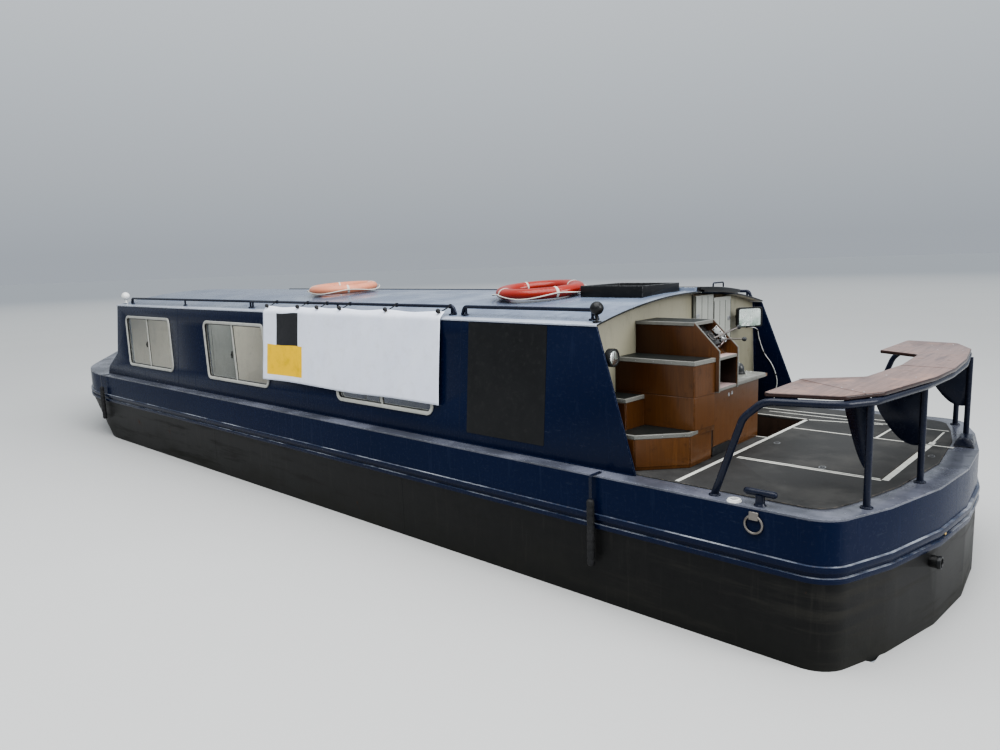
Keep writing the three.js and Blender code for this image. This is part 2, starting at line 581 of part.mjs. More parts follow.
// Handrails along both roof edges. An end is bent down, or butts against the next length between two posts.
// Ends are ahead of the roof's aft corner
const RAIL = { y: 1200, radius: 14, post: 10, height: 66, bend: 40, butt: 24, endLift: 12 }
const RAILS = [
  { name: 'aft', ends: [60, 1340], bent: [true, true], posts: 2 },
  { name: 'middle', ends: [1420, 4529.7], bent: [true, false], posts: 3 },
  { name: 'fore', ends: [4530.3, 7640], bent: [false, true], posts: 3 },
]

function makeHandrails(side, y) {
  const foot = roofHeight(y) + 3
  const z = roofHeight(y) + RAIL.height
  for (const { name, ends: [x0, x1], bent: [bentAft, bentFore], posts } of RAILS) {
    const at = (x, height) => [CABIN_AFT + x, y, height]
    const end = foot + RAIL.endLift
    const aft = bentAft ? [at(x0, end), at(x0 + RAIL.bend, z)] : [at(x0, z)]
    const fore = bentFore ? [at(x1 - RAIL.bend, z), at(x1, end)] : [at(x1, z)]
    const bar = bentTube([...aft, ...fore], RAIL.radius)
    const first = x0 + (bentAft ? RAIL.bend : RAIL.butt)
    const last = x1 - (bentFore ? RAIL.bend : RAIL.butt)
    const uprights = [...Array(posts).keys()].map((k) => {
      const x = first + (last - first) * k / (posts - 1)
      return rod(at(x, foot), at(x, z), RAIL.post, 8)
    })
    add(`handrail_${side}_${name}`, 'steel', join(bar, ...uprights))
  }
}

// Helm lockers against the aft bulkhead, in steps up to the console. Heights are above the boards
const FACE = BULKHEAD.aftX - 3
const LOCKER_AFT = CABIN_AFT - 530
const BOARD_TOP = HULL_TOP + 2 * GAP + BOARDS.thick + GAP
const COLUMN_TOP = 690
const CONSOLE = {
  y0: 420, y1: 715, wall: 18, frontX: CABIN_AFT - 575, sideTop: 735, bay: 690, faceX: CABIN_AFT - 492,
  lipX: CABIN_AFT - 390, top: 920, lid: 20,
}
const SHELF = { low: 480, back: 120 }

const tier = (corners, low, high) => plate(outlineOf(corners), BOARD_TOP + low, BOARD_TOP + high)

function makeLockers() {
  const { y0, y1, wall, frontX, sideTop, bay, faceX, lipX, top, lid } = CONSOLE
  add('step_locker', 'wood', join(
    tier([[FACE, 720], [FACE, 1290], [CABIN_AFT - 280, 1290], [LOCKER_AFT, 1020], [LOCKER_AFT, 720]], 0, 232),
    tier([[FACE, 970], [FACE, 1200], [CABIN_AFT - 150, 1190], [CABIN_AFT - 160, 970]], 200, 442),
    tier([[FACE, 720], [FACE, 980], [LOCKER_AFT, 965], [LOCKER_AFT - 20, 720]], 200, COLUMN_TOP)))
  const inside = [y0 + 1, y1 - 1]
  const upright = (corners, low, high) => sidePlate(outlineOf(corners), low, high).translate(0, 0, BOARD_TOP)
  const cheek = [[frontX, SHELF.low - wall], [FACE, SHELF.low - wall], [FACE, top], [lipX, top], [frontX, sideTop]]
  const panel = [[faceX, bay - 2], [FACE, bay - 2], [FACE, top], [lipX, top], [lipX, top - lid],
    [faceX + top - lid - bay, top - lid]]
  const across = (x0, x1, low, high) => box(x0, x1, ...inside, BOARD_TOP + low, BOARD_TOP + high)
  add('helm_console', 'wood', join(
    box(LOCKER_AFT + 10, FACE, y0, y1, BOARD_TOP, BOARD_TOP + SHELF.low - 1),
    upright(cheek, y0, y0 + wall),
    upright(cheek, y1 - wall, y1),
    across(frontX + 4, FACE, SHELF.low - wall, SHELF.low),
    across(frontX + 4, FACE, bay - wall, bay),
    across(FACE - SHELF.back, FACE, SHELF.low - 1, bay),
    upright(panel, ...inside)))
  add('side_locker', 'wood', join(
    box(LOCKER_AFT + 20, FACE, -70, y0 - 1, BOARD_TOP, BOARD_TOP + 462),
    box(LOCKER_AFT - 35, FACE - 60, -100, y0 - 1, BOARD_TOP + 461, BOARD_TOP + 484)))
  add('compass', 'black', new THREE.SphereGeometry(50, 12, 8), [CABIN_AFT - 410, 60, BOARD_TOP + 485 + 50])
  makeControls()
}

// The instrument panel lies on the console's slope and carries two heads with their levers.
// Places are along the slope, across it and out from it
const PANEL = { low: 50, high: 262, half: 122, thick: 14 }
const LEVERS = [
  { head: [105, 175, -45, 35, 52], hub: [140, 50, 24], from: [140, 0, 50], to: [114.5, -267.5, 154], knob: 15 },
  { head: [70, 112, -112, -78, 62], hub: [90, 62, 17], from: [90.5, -95, 70], to: [36.8, -217.5, 175], knob: 16 },
]

function makeControls() {
  const { bay, faceX, y0, y1 } = CONSOLE
  const along = new THREE.Vector3(1, 0, 1).normalize()
  const out = new THREE.Vector3(-1, 0, 1).normalize()
  const foot = new THREE.Vector3(faceX, (y0 + y1) / 2, BOARD_TOP + bay)
  const frame = new THREE.Matrix4().makeBasis(along, new THREE.Vector3(0, 1, 0), out).setPosition(foot)
  const slab = box(PANEL.low, PANEL.high, -PANEL.half, PANEL.half, 0.6, PANEL.thick)
  const gauge = rod([210, 70, PANEL.thick - 2], [210, 70, 34], 40, 20)
  const heads = LEVERS.map(({ head: [s0, s1, low, high, proud], hub: [s, lift, radius], from, to, knob }) => join(
    box(s0, s1, low, high, PANEL.thick - 4, proud),
    rod([s, low - 4, lift], [s, high + 4, lift], radius, 14),
    rod(from, to, 6, 8),
    ball(to, knob, 12)))
  add('helm_controls', 'steel', geometryOf(join(slab, gauge, ...heads)).applyMatrix4(frame))
}

// Tube taffrail, with its posts' knee plates under the seat. Places are astern of the roof's aft corner
const SEAT = { top: 630, thick: 24 }
const TUBE = 21
const RAIL_LOW = SEAT.top - SEAT.thick - TUBE - 2
const RAIL_PATH = [
  [-905, 1420, 8], [-1075, 1432, 480], [-1190, 1422, RAIL_LOW], [-1560, 1322, RAIL_LOW],
  [-1675, 1120, RAIL_LOW], [-1765, 520, RAIL_LOW], [-1790, 0, RAIL_LOW],
]
const POSTS = [
  { x: -1655, y: 1150, knee: 'narrow', web: 0.5 }, { x: -1757, y: 490, knee: 'wide', web: 0 },
  { x: -1722, y: -930, knee: 'wide', web: -0.2 }, { x: -1580, y: -1290, knee: 'narrow', web: -0.7 },
]
// Knee plates in side view: how far in from the post, and how high
const KNEE_TOP = SEAT.top - SEAT.thick - 1
const KNEES = {
  wide: [[0, 225], [56, 222], [112, 244], [168, 298], [224, 376], [262, 450], [290, KNEE_TOP]],
  narrow: [[0, 195], [15, 205], [58, 251], [102, 331], [145, 433], [174, 506], [195, KNEE_TOP]],
}
const FLANGE = { radius: 34, thick: 6 }
const SEAT_PLAN = [
  [-1175, -1440, 30], [-1175, -700], [-1462, -560, 60], [-1502, 0], [-1462, 600, 60], [-1175, 850],
  [-1175, 1420, 30], [-1570, 1310, 60], [-1700, 1060, 60], [-1800, 420], [-1815, 0], [-1785, -480],
  [-1700, -1060, 60], [-1545, -1390, 60],
]

function makeTaffrail() {
  const lift = DECK_TOP + 1
  const port = RAIL_PATH.map(([x, y, z]) => [CABIN_AFT + x, y, lift + z])
  const starboard = port.slice(0, -1).reverse().map(([x, y, z]) => [x, -y, z])
  const flange = (x, y) => rod([x, y, lift], [x, y, lift + FLANGE.thick], FLANGE.radius, 14)
  const posts = POSTS.map(({ x, y, knee, web }) => {
    const at = (z) => [CABIN_AFT + x, y, lift + z]
    const profile = outlineOf([[0, KNEE_TOP], ...KNEES[knee]])
    const plateWeb = sidePlate(profile, -4, 4).rotateZ(-web).translate(...at(0))
    return join(rod(at(0), at(RAIL_LOW), TUBE - 2, 10), plateWeb, flange(CABIN_AFT + x, y))
  })
  const [footX, footY] = port[0]
  const feet = [flange(footX, footY), flange(footX, -footY)]
  add('taffrail', 'navy', join(bentTube([...port, ...starboard], TUBE), ...posts, ...feet))
  const plan = SEAT_PLAN.map(([x, y, radius]) => [CABIN_AFT + x, y, radius])
  add('taffrail_seat', 'seat', plate(rounded(plan, 4).reverse(), lift + SEAT.top - SEAT.thick, lift + SEAT.top))
}

// Mooring studs, lamps and small fittings
function mooringStud(turn) {
  const foot = new THREE.CylinderGeometry(34, 34, 60, 14).rotateX(Math.PI / 2).translate(0, 0, 30)
  const bar = new THREE.CylinderGeometry(20, 20, 190, 12).translate(0, 0, 72)
  return geometryOf(join(foot, bar)).rotateZ(turn)
}

const LAMP = [CABIN_AFT - 20, -910, DECK_TOP + 835]

function makeFittings() {
  const onDeck = (x, y) => [x, y, DECK_TOP + sheerAt(x) + 1]
  const studX = CABIN_AFT - 1190
  add('mooring_stud_port', 'black', mooringStud(Math.PI / 2), onDeck(studX, 1448))
  add('mooring_stud_starboard', 'black', mooringStud(Math.PI / 2), onDeck(studX, -1448))
  add('mooring_stud_bow', 'black', mooringStud(0), [HALF_LENGTH - 330, 0, DECK_TOP + sheerAt(HALF_LENGTH - 290)])
  add('filler_cap', 'white', new THREE.CylinderGeometry(38, 42, 14, 20).rotateX(Math.PI / 2),
    [CABIN_AFT - 1045, 1462, DECK_TOP + 8])
  const cornerLamp = (radius) => join(ball([0, 0, 90], radius, 12), rod([0, 0, 0], [0, 0, 60], 9, 8))
  add('corner_lamp_aft', 'black', cornerLamp(46), [CABIN_AFT + 30, 1250, roofHeight(1250) + 3])
  add('corner_lamp_fore', 'white', cornerLamp(52), [CABIN_FORE - 40, 1190, roofHeight(1190) + 3])
  const lamp = geometryOf(join(box(-75, 0, -120, 120, -88, 88), box(-5, 25, -22, 22, -40, 40))).rotateZ(-0.62)
  const arm = box(0, BULKHEAD.aftX - 1.5 - LAMP[0], -25, 15, -12, 12)
  add('work_lamp', 'black', join(lamp, arm), LAMP)
  makeLampLead()

  const wingLamp = new THREE.CylinderGeometry(62, 62, 50, 20).rotateZ(Math.PI / 2)
  add('wing_lamp', 'black', join(wingLamp, box(0, 45, 30, 67, -10, 10)), [CABIN_AFT - 70, 1232, DECK_TOP + 730])
  const base = [[-1715, -545], [-1850, -545], [-1818, -780], [-1700, -780]]
  const crown = [[-1738, -572], [-1828, -572], [-1800, -752], [-1722, -752]]
  const ring = (corners, z) => corners.map(([x, y]) => new THREE.Vector3(CABIN_AFT + x, y, DECK_TOP + z))
  add('stern_fairlead', 'navy', loft(ring(base, 1), ring(crown, 56)))
  const eye = new THREE.TorusGeometry(50, 7, 8, 20).rotateX(Math.PI / 2).translate(0, 9, -95)
  const pad = box(-28, 28, 0.5, 17, -72, -22)
  addBoth('mooring_ring_SIDE', 'steel', join(eye, pad).translate(CABIN_AFT - 1180, HALF_BEAM, DECK_TOP))
}

// The work lamp's lead is clipped to the bulkhead and the starboard wing, down to a gland in the deck.
// Places are ahead of the roof's aft corner and above the deck
const LEAD = { radius: 4, off: 9, footY: -1332, gland: 10, glandTop: 20 }
const LEAD_AT_LAMP = [
  [10, -917, 794], [12, -918, 768], [40, -935, 748], [62, -990, 738], [62, -1120, 726], [58, -1220, 712], [50, -1270, 702],
]
const LEAD_ON_WING = [[36, 680], [24, 610], [-20, 477], [-89, 377], [-129, 278], [-140, 200], [-122, 120]]

function makeLampLead() {
  const wing = LEAD_ON_WING.map(([x, z]) => [x, -(SIDE_BASE_Y - WING_THICK - LEAN * z - LEAD.off), z])
  const foot = [-112, LEAD.footY, LEAD.glandTop - 2]
  const route = [...LEAD_AT_LAMP, ...wing, foot].map(([x, y, z]) => new THREE.Vector3(CABIN_AFT + x, y, DECK_TOP + z))
  const points = new THREE.CatmullRomCurve3(route).getSpacedPoints(44).map((p) => p.toArray())
  const [x, y] = points[points.length - 1]
  add('lamp_lead', 'white', join(
    bentTube(points, LEAD.radius, 6),
    rod([x, y, BOARD_TOP + GAP], [x, y, DECK_TOP + LEAD.glandTop], LEAD.gland, 12)))
}

// Slim fenders hung over the side on straps
const FENDER = { radius: 26, low: 700, high: 1150, strap: 12, thick: 6, hookY: 1430 }
const FENDERS = [{ name: 'fore', x: CABIN_AFT + 8080 }, { name: 'aft', x: CABIN_AFT - 110 }]

function makeFenders() {
  const { radius, low, high, strap, thick, hookY } = FENDER
  const y = HALF_BEAM + STRAKES[0].proud + 4 + radius
  for (const { name, x } of FENDERS) {
    const z = DECK_TOP + sheerAt(x) + 3
    addBoth(`fender_SIDE_${name}`, 'rubber', join(
      rod([x, y, low], [x, y, high], radius, 12),
      box(x - strap, x + strap, y - thick, y, high - 10, z + thick),
      box(x - strap, x + strap, hookY, y, z, z + thick)))
  }
}

// Cabin floor with inner steps, and benches that show through the glass
function makeInterior() {
  const fore = BULKHEAD.foreX - 4
  const aft = BULKHEAD.aftX + BULKHEAD.thick + 4
  const steps = [1, 2].map((k) => box(aft, aft + 600 - 250 * k, AFT_DOOR.y0 - 20, AFT_DOOR.y1 + 20,
    FLOOR_TOP - 5, FLOOR_TOP + 190 * k))
  const half = [[aft, swimHalf(aft)], [SWIM.startX - 70, 1330], [fore, 1330]]
  const floor = plate(outlineOf([...half.map(([x, y]) => [x, -y]), ...half.reverse()]), FLOOR_TOP - 30, FLOOR_TOP)
  add('cabin_floor', 'wood', join(floor, ...steps))
  const profile = outlineOf([[880, 0], [1330, 0], [1330, 900], [1240, 900], [1210, 450], [880, 430]])
  addBoth('bench_SIDE', 'bench',
    endPlate(profile, CABIN_AFT + 1600, CABIN_AFT + 7300).translate(0, 0, FLOOR_TOP + GAP))
}

// A blank cloth banner hung below the port handrail
function makeBanner() {
  const cloth = outlineOf([[1470, 262], [3440, 262], [3440, 290], [4105, 290], [4105, 940], [1470, 945]])
  const sheet = sidePlate(cloth, SIDE_BASE_Y + 24, SIDE_BASE_Y + 28).translate(CABIN_AFT, 0, 0)
  add('banner', 'cloth', leanIn(sheet))
}

makeHull()
makeRunningGear()
makeDeck()
makeSternFloor()
makeCabinSides()
makeBulkheads()
makeDoors()
makeRoof()
makeRoofLoads()
makeHandrails('port', RAIL.y)
makeHandrails('starboard', -RAIL.y)
makeLockers()
makeTaffrail()
makeFittings()
makeFenders()
makeInterior()
makeBanner()

export default boat
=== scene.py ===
"""A steel canal trip boat, dressed over its solid frame: paint, varnish, glass, fittings and a studio"""
import math

import bmesh
import bpy
from mathutils import Matrix, Vector


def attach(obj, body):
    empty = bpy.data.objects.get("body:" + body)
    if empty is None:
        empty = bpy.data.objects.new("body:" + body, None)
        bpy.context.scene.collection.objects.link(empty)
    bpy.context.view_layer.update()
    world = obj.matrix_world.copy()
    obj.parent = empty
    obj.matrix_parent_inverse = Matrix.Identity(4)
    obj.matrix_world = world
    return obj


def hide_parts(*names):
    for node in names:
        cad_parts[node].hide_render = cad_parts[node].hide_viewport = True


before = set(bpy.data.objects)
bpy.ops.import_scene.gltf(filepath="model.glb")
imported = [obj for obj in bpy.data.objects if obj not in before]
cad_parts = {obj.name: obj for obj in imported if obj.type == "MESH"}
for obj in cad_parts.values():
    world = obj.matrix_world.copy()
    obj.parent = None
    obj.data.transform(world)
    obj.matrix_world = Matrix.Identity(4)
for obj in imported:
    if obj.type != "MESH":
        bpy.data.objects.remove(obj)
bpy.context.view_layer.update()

# Main places in metres, as in the solids: +X to the bow, +Y to port, +Z up
WATERLINE = 0.45
DECK_TOP = 1.300
HALF_LENGTH = 6.200
ROOF_AFT, ROOF_FORE = -4.280, 3.620
ROOF_EDGE = 2.253
ROOF_RADIUS = 5.8688
SIDE_Y = 1.374
LEAN = 0.078 / 0.953
BOARD_TOP = 1.3068
BULKHEAD_AFT, BULKHEAD_FORE = -4.210, 3.560
SIDES = (("port", 1), ("starboard", -1))


def roof_height(y):
    """Height of the roof's skin at one distance from the centreline"""
    return ROOF_EDGE + 0.145 - ROOF_RADIUS + math.sqrt(ROOF_RADIUS ** 2 - y * y)


def deck_lift(x):
    """How far the deck line has risen towards the stem"""
    return 0.16 * max(0.0, x - 3.97) / 2.23


def on_side(hand, x, z, out=0.0):
    """A point on the leaning cabin side: z is above the deck, out is away from the boat"""
    return Vector((x, hand * (SIDE_Y - LEAN * z + out), DECK_TOP + 0.0004 + z))


# Stands a flat outline up: its Y becomes the height
UPRIGHT = Matrix(((1, 0, 0, 0), (0, 0, -1, 0), (0, 1, 0, 0), (0, 0, 0, 1)))


def moved(x, y, z):
    """A place at one point, with the boat's own directions"""
    return Matrix.Translation((x, y, z))


def shade(colour, share):
    """A darker or brighter tone of a colour"""
    return tuple(share * c for c in colour)


def oblong(x0, y0, x1, y1):
    """The corners of an upright rectangle, anticlockwise"""
    return [(x0, y0), (x1, y0), (x1, y1), (x0, y1)]


def oval(count, wide=1.0, high=None):
    """Points of an oval or a circle, anticlockwise"""
    high = wide if high is None else high
    return [(wide * math.cos(a), high * math.sin(a)) for a in (2 * math.pi * k / count for k in range(count))]


# Shader values and trees


class Graph:
    """A node tree that is filled by one method"""

    def node(self, kind, settings=None, ins=None):
        """A node with its settings and with what goes into it"""
        made = self.tree.nodes.new(kind)
        for key, value in (settings or {}).items():
            if key == "stops":
                ramp = made.color_ramp
                while len(ramp.elements) < len(value):
                    ramp.elements.new(1.0)
                for element, (at, colour) in zip(ramp.elements, value):
                    element.position = at
                    element.color = (*colour, 1.0)
            else:
                setattr(made, key, value)
        for key, value in (ins or {}).items():
            value = value.socket if isinstance(value, Value) else value
            if isinstance(value, bpy.types.NodeSocket):
                self.tree.links.new(value, made.inputs[key])
            elif isinstance(value, tuple) and len(value) == 3 and made.inputs[key].type == "RGBA":
                made.inputs[key].default_value = (*value, 1.0)
            else:
                made.inputs[key].default_value = value
        return made

    def first(self, kind, ins, settings=None):
        """The first output of a new node"""
        return self.node(kind, settings, ins).outputs[0]


class Value:
    """One number in a finish. Arithmetic on it adds the nodes that work it out"""

    def __init__(self, finish, socket):
        self.finish = finish
        self.socket = socket

    def sum_of(self, operation, first, second=0.0):
        """The result of one sum. The second number is nought where the sum has none"""
        made = self.finish.first("ShaderNodeMath", {0: first, 1: second}, {"operation": operation})
        return Value(self.finish, made)

    def __add__(self, other):
        return self.sum_of("ADD", self, other)

    def __sub__(self, other):
        return self.sum_of("SUBTRACT", self, other)

    def __rsub__(self, other):
        return self.sum_of("SUBTRACT", other, self)

    def __mul__(self, other):
        return self.sum_of("MULTIPLY", self, other)

    def size(self):
        """The value without its sign"""
        return self.sum_of("ABSOLUTE", self)

    def sine(self):
        """The value's sine, which repeats"""
        return self.sum_of("SINE", self)

    def between(self, low, high, start=0.0, end=1.0):
        """Runs smoothly from start to end as the value goes from low to high"""
        ins = {0: self, 1: low, 2: high, 3: start, 4: end}
        smooth = {"interpolation_type": "SMOOTHSTEP"}
        return Value(self.finish, self.finish.first("ShaderNodeMapRange", ins, smooth))

    def near(self, middle, reach, soft):
        """One inside a band round a middle value, and nought outside it"""
        return (self - middle).size().between(reach, reach + soft, 1.0, 0.0)

    __radd__ = __add__


class Finish(Graph):
    """One material on a single glossy shader, whose patterns read the place on the boat"""

    def __init__(self, name, **constant):
        self.material = bpy.data.materials.new(name)
        self.material.use_nodes = True
        self.tree = self.material.node_tree
        self.tree.nodes.clear()
        ins = {key.replace("_", " "): value for key, value in constant.items()}
        self.shader = self.node("ShaderNodeBsdfPrincipled", ins=ins)
        self.node("ShaderNodeOutputMaterial", ins={"Surface": self.shader.outputs[0]})
        self.place = self.node("ShaderNodeTexCoord").outputs["Object"]

    def noise(self, scale, detail=4.0, rough=0.55, stretch=(1, 1, 1), shift=(0, 0, 0), warp=0.0, place=None):
        """Clouded noise over the place, which is stretched and shifted first"""
        ins = {"Vector": place or self.place, "Scale": stretch, "Location": shift}
        vector = self.node("ShaderNodeMapping", ins=ins).outputs[0]
        ins = {"Vector": vector, "Scale": scale, "Detail": detail, "Roughness": rough, "Distortion": warp}
        return Value(self, self.node("ShaderNodeTexNoise", ins=ins).outputs[0])

    def cells(self, scale):
        """How far each point is from the nearest of many scattered ones"""
        ins = {"Vector": self.place, "Scale": scale}
        return Value(self, self.node("ShaderNodeTexVoronoi", ins=ins).outputs["Distance"])

    def axes(self, place=None):
        """The three numbers of a place"""
        parts = self.node("ShaderNodeSeparateXYZ", ins={0: place or self.place})
        return [Value(self, output) for output in parts.outputs]

    def own_map(self, name):
        """The place on a piece's own map"""
        return self.node("ShaderNodeUVMap", {"uv_map": name}).outputs[0]

    def mixed(self, share, first, second):
        """A colour between two others"""
        return self.node("ShaderNodeMix", {"data_type": "RGBA"}, {0: share, 6: first, 7: second}).outputs[2]

    def layered(self, colour, layers):
        """A colour with others over it, each by its share"""
        for share, tone in layers:
            colour = self.mixed(share, colour, tone)
        return colour

    def graded(self, share, stops):
        """A colour from a row of stops"""
        return self.node("ShaderNodeValToRGB", {"stops": stops}, {0: share}).outputs[0]

    def bumped(self, height, depth, strength, below=None):
        """The normal of a height pattern, on top of the pattern below"""
        ins = {"Height": height, "Distance": depth, "Strength": strength}
        if below:
            ins["Normal"] = below
        return self.node("ShaderNodeBump", ins=ins).outputs["Normal"]

    def wear(self, scale, low=0.45, high=0.6):
        """Where the edges are rubbed: on the rounded edges only, and broken up"""
        rounded = self.node("ShaderNodeAttribute", {"attribute_name": "edge"}).outputs["Fac"]
        return Value(self, rounded) * self.noise(scale, 5, 0.6).between(low, high)

    def done(self, **varying):
        """The material, once the shader has what varies over the piece"""
        for key, value in varying.items():
            value = value.socket if isinstance(value, Value) else value
            self.tree.links.new(value, self.shader.inputs[key.replace("_", " ")])
        return self.material


class Rule(Graph):
    """A geometry tree with named inputs, for what follows a path or repeats along it"""

    KINDS = {int: "NodeSocketInt", float: "NodeSocketFloat"}

    def __init__(self, name, **inputs):
        self.tree = bpy.data.node_groups.new(name, "GeometryNodeTree")
        sockets = self.tree.interface
        sockets.new_socket("Path", in_out="INPUT", socket_type="NodeSocketGeometry")
        self.inputs = {}
        for key, value in inputs.items():
            made = sockets.new_socket(key, in_out="INPUT", socket_type=self.KINDS[type(value)])
            made.default_value = value
            self.inputs[key] = made.identifier
        made = sockets.new_socket("Finish", in_out="INPUT", socket_type="NodeSocketMaterial")
        self.inputs["Finish"] = made.identifier
        sockets.new_socket("Made", in_out="OUTPUT", socket_type="NodeSocketGeometry")
        self.given = self.node("NodeGroupInput").outputs
        self.path = self.first("GeometryNodeMeshToCurve", {"Mesh": self.given["Path"]})

    def along(self, shape):
        """One copy of a shape at every pitch of the path, standing on the path's own outward direction"""
        ins = {"Curve": self.path, "Length": self.given["Pitch"]}
        spaced = self.first("GeometryNodeResampleCurve", ins, {"mode": "LENGTH"})
        out = self.first("GeometryNodeInputNamedAttribute", {"Name": "out"}, {"data_type": "FLOAT_VECTOR"})
        stand = self.first("FunctionNodeAlignRotationToVector", {"Vector": out}, {"axis": "Z"})
        ins = {"Points": spaced, "Instance": shape, "Rotation": stand}
        return self.first("GeometryNodeInstanceOnPoints", ins)

    def done(self, geometry):
        """The rule, once its geometry is real and painted"""
        whole = self.first("GeometryNodeRealizeInstances", {0: geometry})
        painted = self.first("GeometryNodeSetMaterial", {"Geometry": whole, "Material": self.given["Finish"]})
        self.node("NodeGroupOutput", ins={0: painted})
        return self


def ball_rule(name, segments, rings, **inputs):
    """Flattened balls at an even pitch: domed screw heads or the overlapping ripples of a weld"""
    r = Rule(name, **inputs)
    ball = r.first("GeometryNodeMeshUVSphere", {"Segments": segments, "Rings": rings, "Radius": 1.0})
    size = r.node("ShaderNodeCombineXYZ", ins={0: r.given["Width"], 1: r.given["Width"], 2: r.given["Height"]})
    flattened = r.first("GeometryNodeTransform", {"Geometry": ball, "Scale": size.outputs[0]})
    return r.done(r.along(flattened))


def bar_rule():
    """A round bar or a bead of rubber along the whole path"""
    r = Rule("round_bar", Radius=0.01, Sides=16)
    ins = {"Resolution": r.given["Sides"], "Radius": r.given["Radius"]}
    ring = r.first("GeometryNodeCurvePrimitiveCircle", ins, {"mode": "RADIUS"})
    ins = {"Curve": r.path, "Profile Curve": ring, "Fill Caps": True}
    return r.done(r.first("GeometryNodeCurveToMesh", ins))


def knob_rule():
    """A ball with a short neck at every pitch"""
    r = Rule("toggle_knobs", Pitch=0.35, Ball=0.014)
    ball = r.first("GeometryNodeMeshUVSphere", {"Segments": 14, "Rings": 9, "Radius": r.given["Ball"]})
    neck = r.first("GeometryNodeMeshCylinder", {"Vertices": 10, "Radius": 0.0045, "Depth": 0.022})
    lowered = r.first("GeometryNodeTransform", {"Geometry": neck, "Translation": (0.0, 0.0, -0.012)})
    both = r.node("GeometryNodeJoinGeometry", ins={0: ball})
    r.tree.links.new(lowered, both.inputs[0])
    return r.done(r.along(both.outputs[0]))


# Finishes


def navy_gloss():
    """Deep blue boat enamel: slightly wavy plate, dust runs from the roof and rubbed edges"""
    f = Finish("navy_gloss", Coat_Roughness=0.08, IOR=1.45, Specular_IOR_Level=0.14)
    broad = f.noise(0.9, 3)
    runs = f.noise(7.0, 5, 0.6, (3.2, 3.2, 0.28)).between(0.56, 0.78)
    dust = f.noise(38.0, 6, 0.7).between(0.5, 0.74)
    scratches = f.noise(24.0, 3, 0.5, (0.35, 0.35, 14.0)).between(0.69, 0.74)
    colour = f.layered((0.0022, 0.0058, 0.0225), (
        (broad, (0.0040, 0.0095, 0.0335)),
        (runs * 0.08, (0.04, 0.055, 0.10)),
        (dust * 0.025, (0.16, 0.16, 0.155)),
        (scratches * 0.20, (0.15, 0.17, 0.21)),
        (f.wear(45) * 0.45, (0.07, 0.085, 0.13))))
    rough = 0.20 + broad * 0.10 + runs * 0.16 + dust * 0.10 + f.wear(45) * 0.2
    wavy = f.bumped(f.noise(1.7, 2, 0.4), 0.004, 0.55)
    return f.done(Base_Color=colour, Roughness=rough, Coat_Weight=0.07 - runs * 0.06,
                  Normal=f.bumped(f.noise(420, 2), 0.00012, 0.35, wavy))


def hull_blacking():
    """Black bottom paint: scuffed along the side, grey with grime near the water, a few rust blooms"""
    f = Finish("hull_blacking", IOR=1.5, Specular_IOR_Level=0.16)
    x, _, z = f.axes()
    rubbed = f.noise(3.4, 7, 0.65, (0.35, 0.35, 3.6)).between(0.5, 0.72)
    patches = f.noise(1.3, 6, 0.6, (1, 1, 1.6), (4, 1, 0)).between(0.46, 0.7)
    stern = x.between(-6.2, -3.4, 1.0, 0.35)
    splash = z.between(0.45, 0.86, 1.0, 0.0) * (0.35 + patches * 0.65)
    rust = f.noise(5.5, 6, 0.7, (1, 1, 0.55), (9, 0, 3)).between(0.655, 0.735)
    runs = f.noise(9.0, 4, 0.6, (2.6, 2.6, 0.22)).between(0.55, 0.76)
    colour = f.layered((0.0045, 0.0048, 0.0055), (
        (f.noise(14, 4), (0.0115, 0.0115, 0.0115)),
        (rubbed * stern * 0.32, (0.060, 0.057, 0.048)),
        (runs * 0.16, (0.060, 0.056, 0.048)),
        (splash * 0.4, (0.036, 0.036, 0.028)),
        (rust * 0.75, (0.10, 0.036, 0.015)),
        (f.wear(30) * 0.6, (0.16, 0.15, 0.14))))
    rough = 0.42 + rubbed * 0.2 + splash * 0.25 + rust * 0.3
    plate = f.bumped(f.noise(1.4, 3, 0.5), 0.008, 0.6)
    height = f.noise(55, 6, 0.7) + rust * 0.8 + rubbed * 0.4
    return f.done(Base_Color=colour, Roughness=rough, Normal=f.bumped(height, 0.0011, 0.55, plate))


def rubbed_strake():
    """The strakes' upper faces: a pale line that is partly the blue worn off and partly a painted highlight
    where the upper faces catch the light
    """
    f = Finish("rubbed_strake", IOR=1.46)
    worn = f.noise(5.0, 6, 0.65, (0.5, 0.5, 3)).between(0.42, 0.66)
    chips = f.noise(28, 5, 0.7).between(0.5, 0.62)
    colour = f.layered((0.030, 0.042, 0.075), (
        (worn, (0.30, 0.32, 0.355)),
        (chips * 0.35, (0.12, 0.10, 0.09))))
    return f.done(Base_Color=colour, Roughness=0.34 + worn * 0.16 + chips * 0.2,
                  Normal=f.bumped(f.noise(80, 5, 0.6), 0.0006, 0.5))


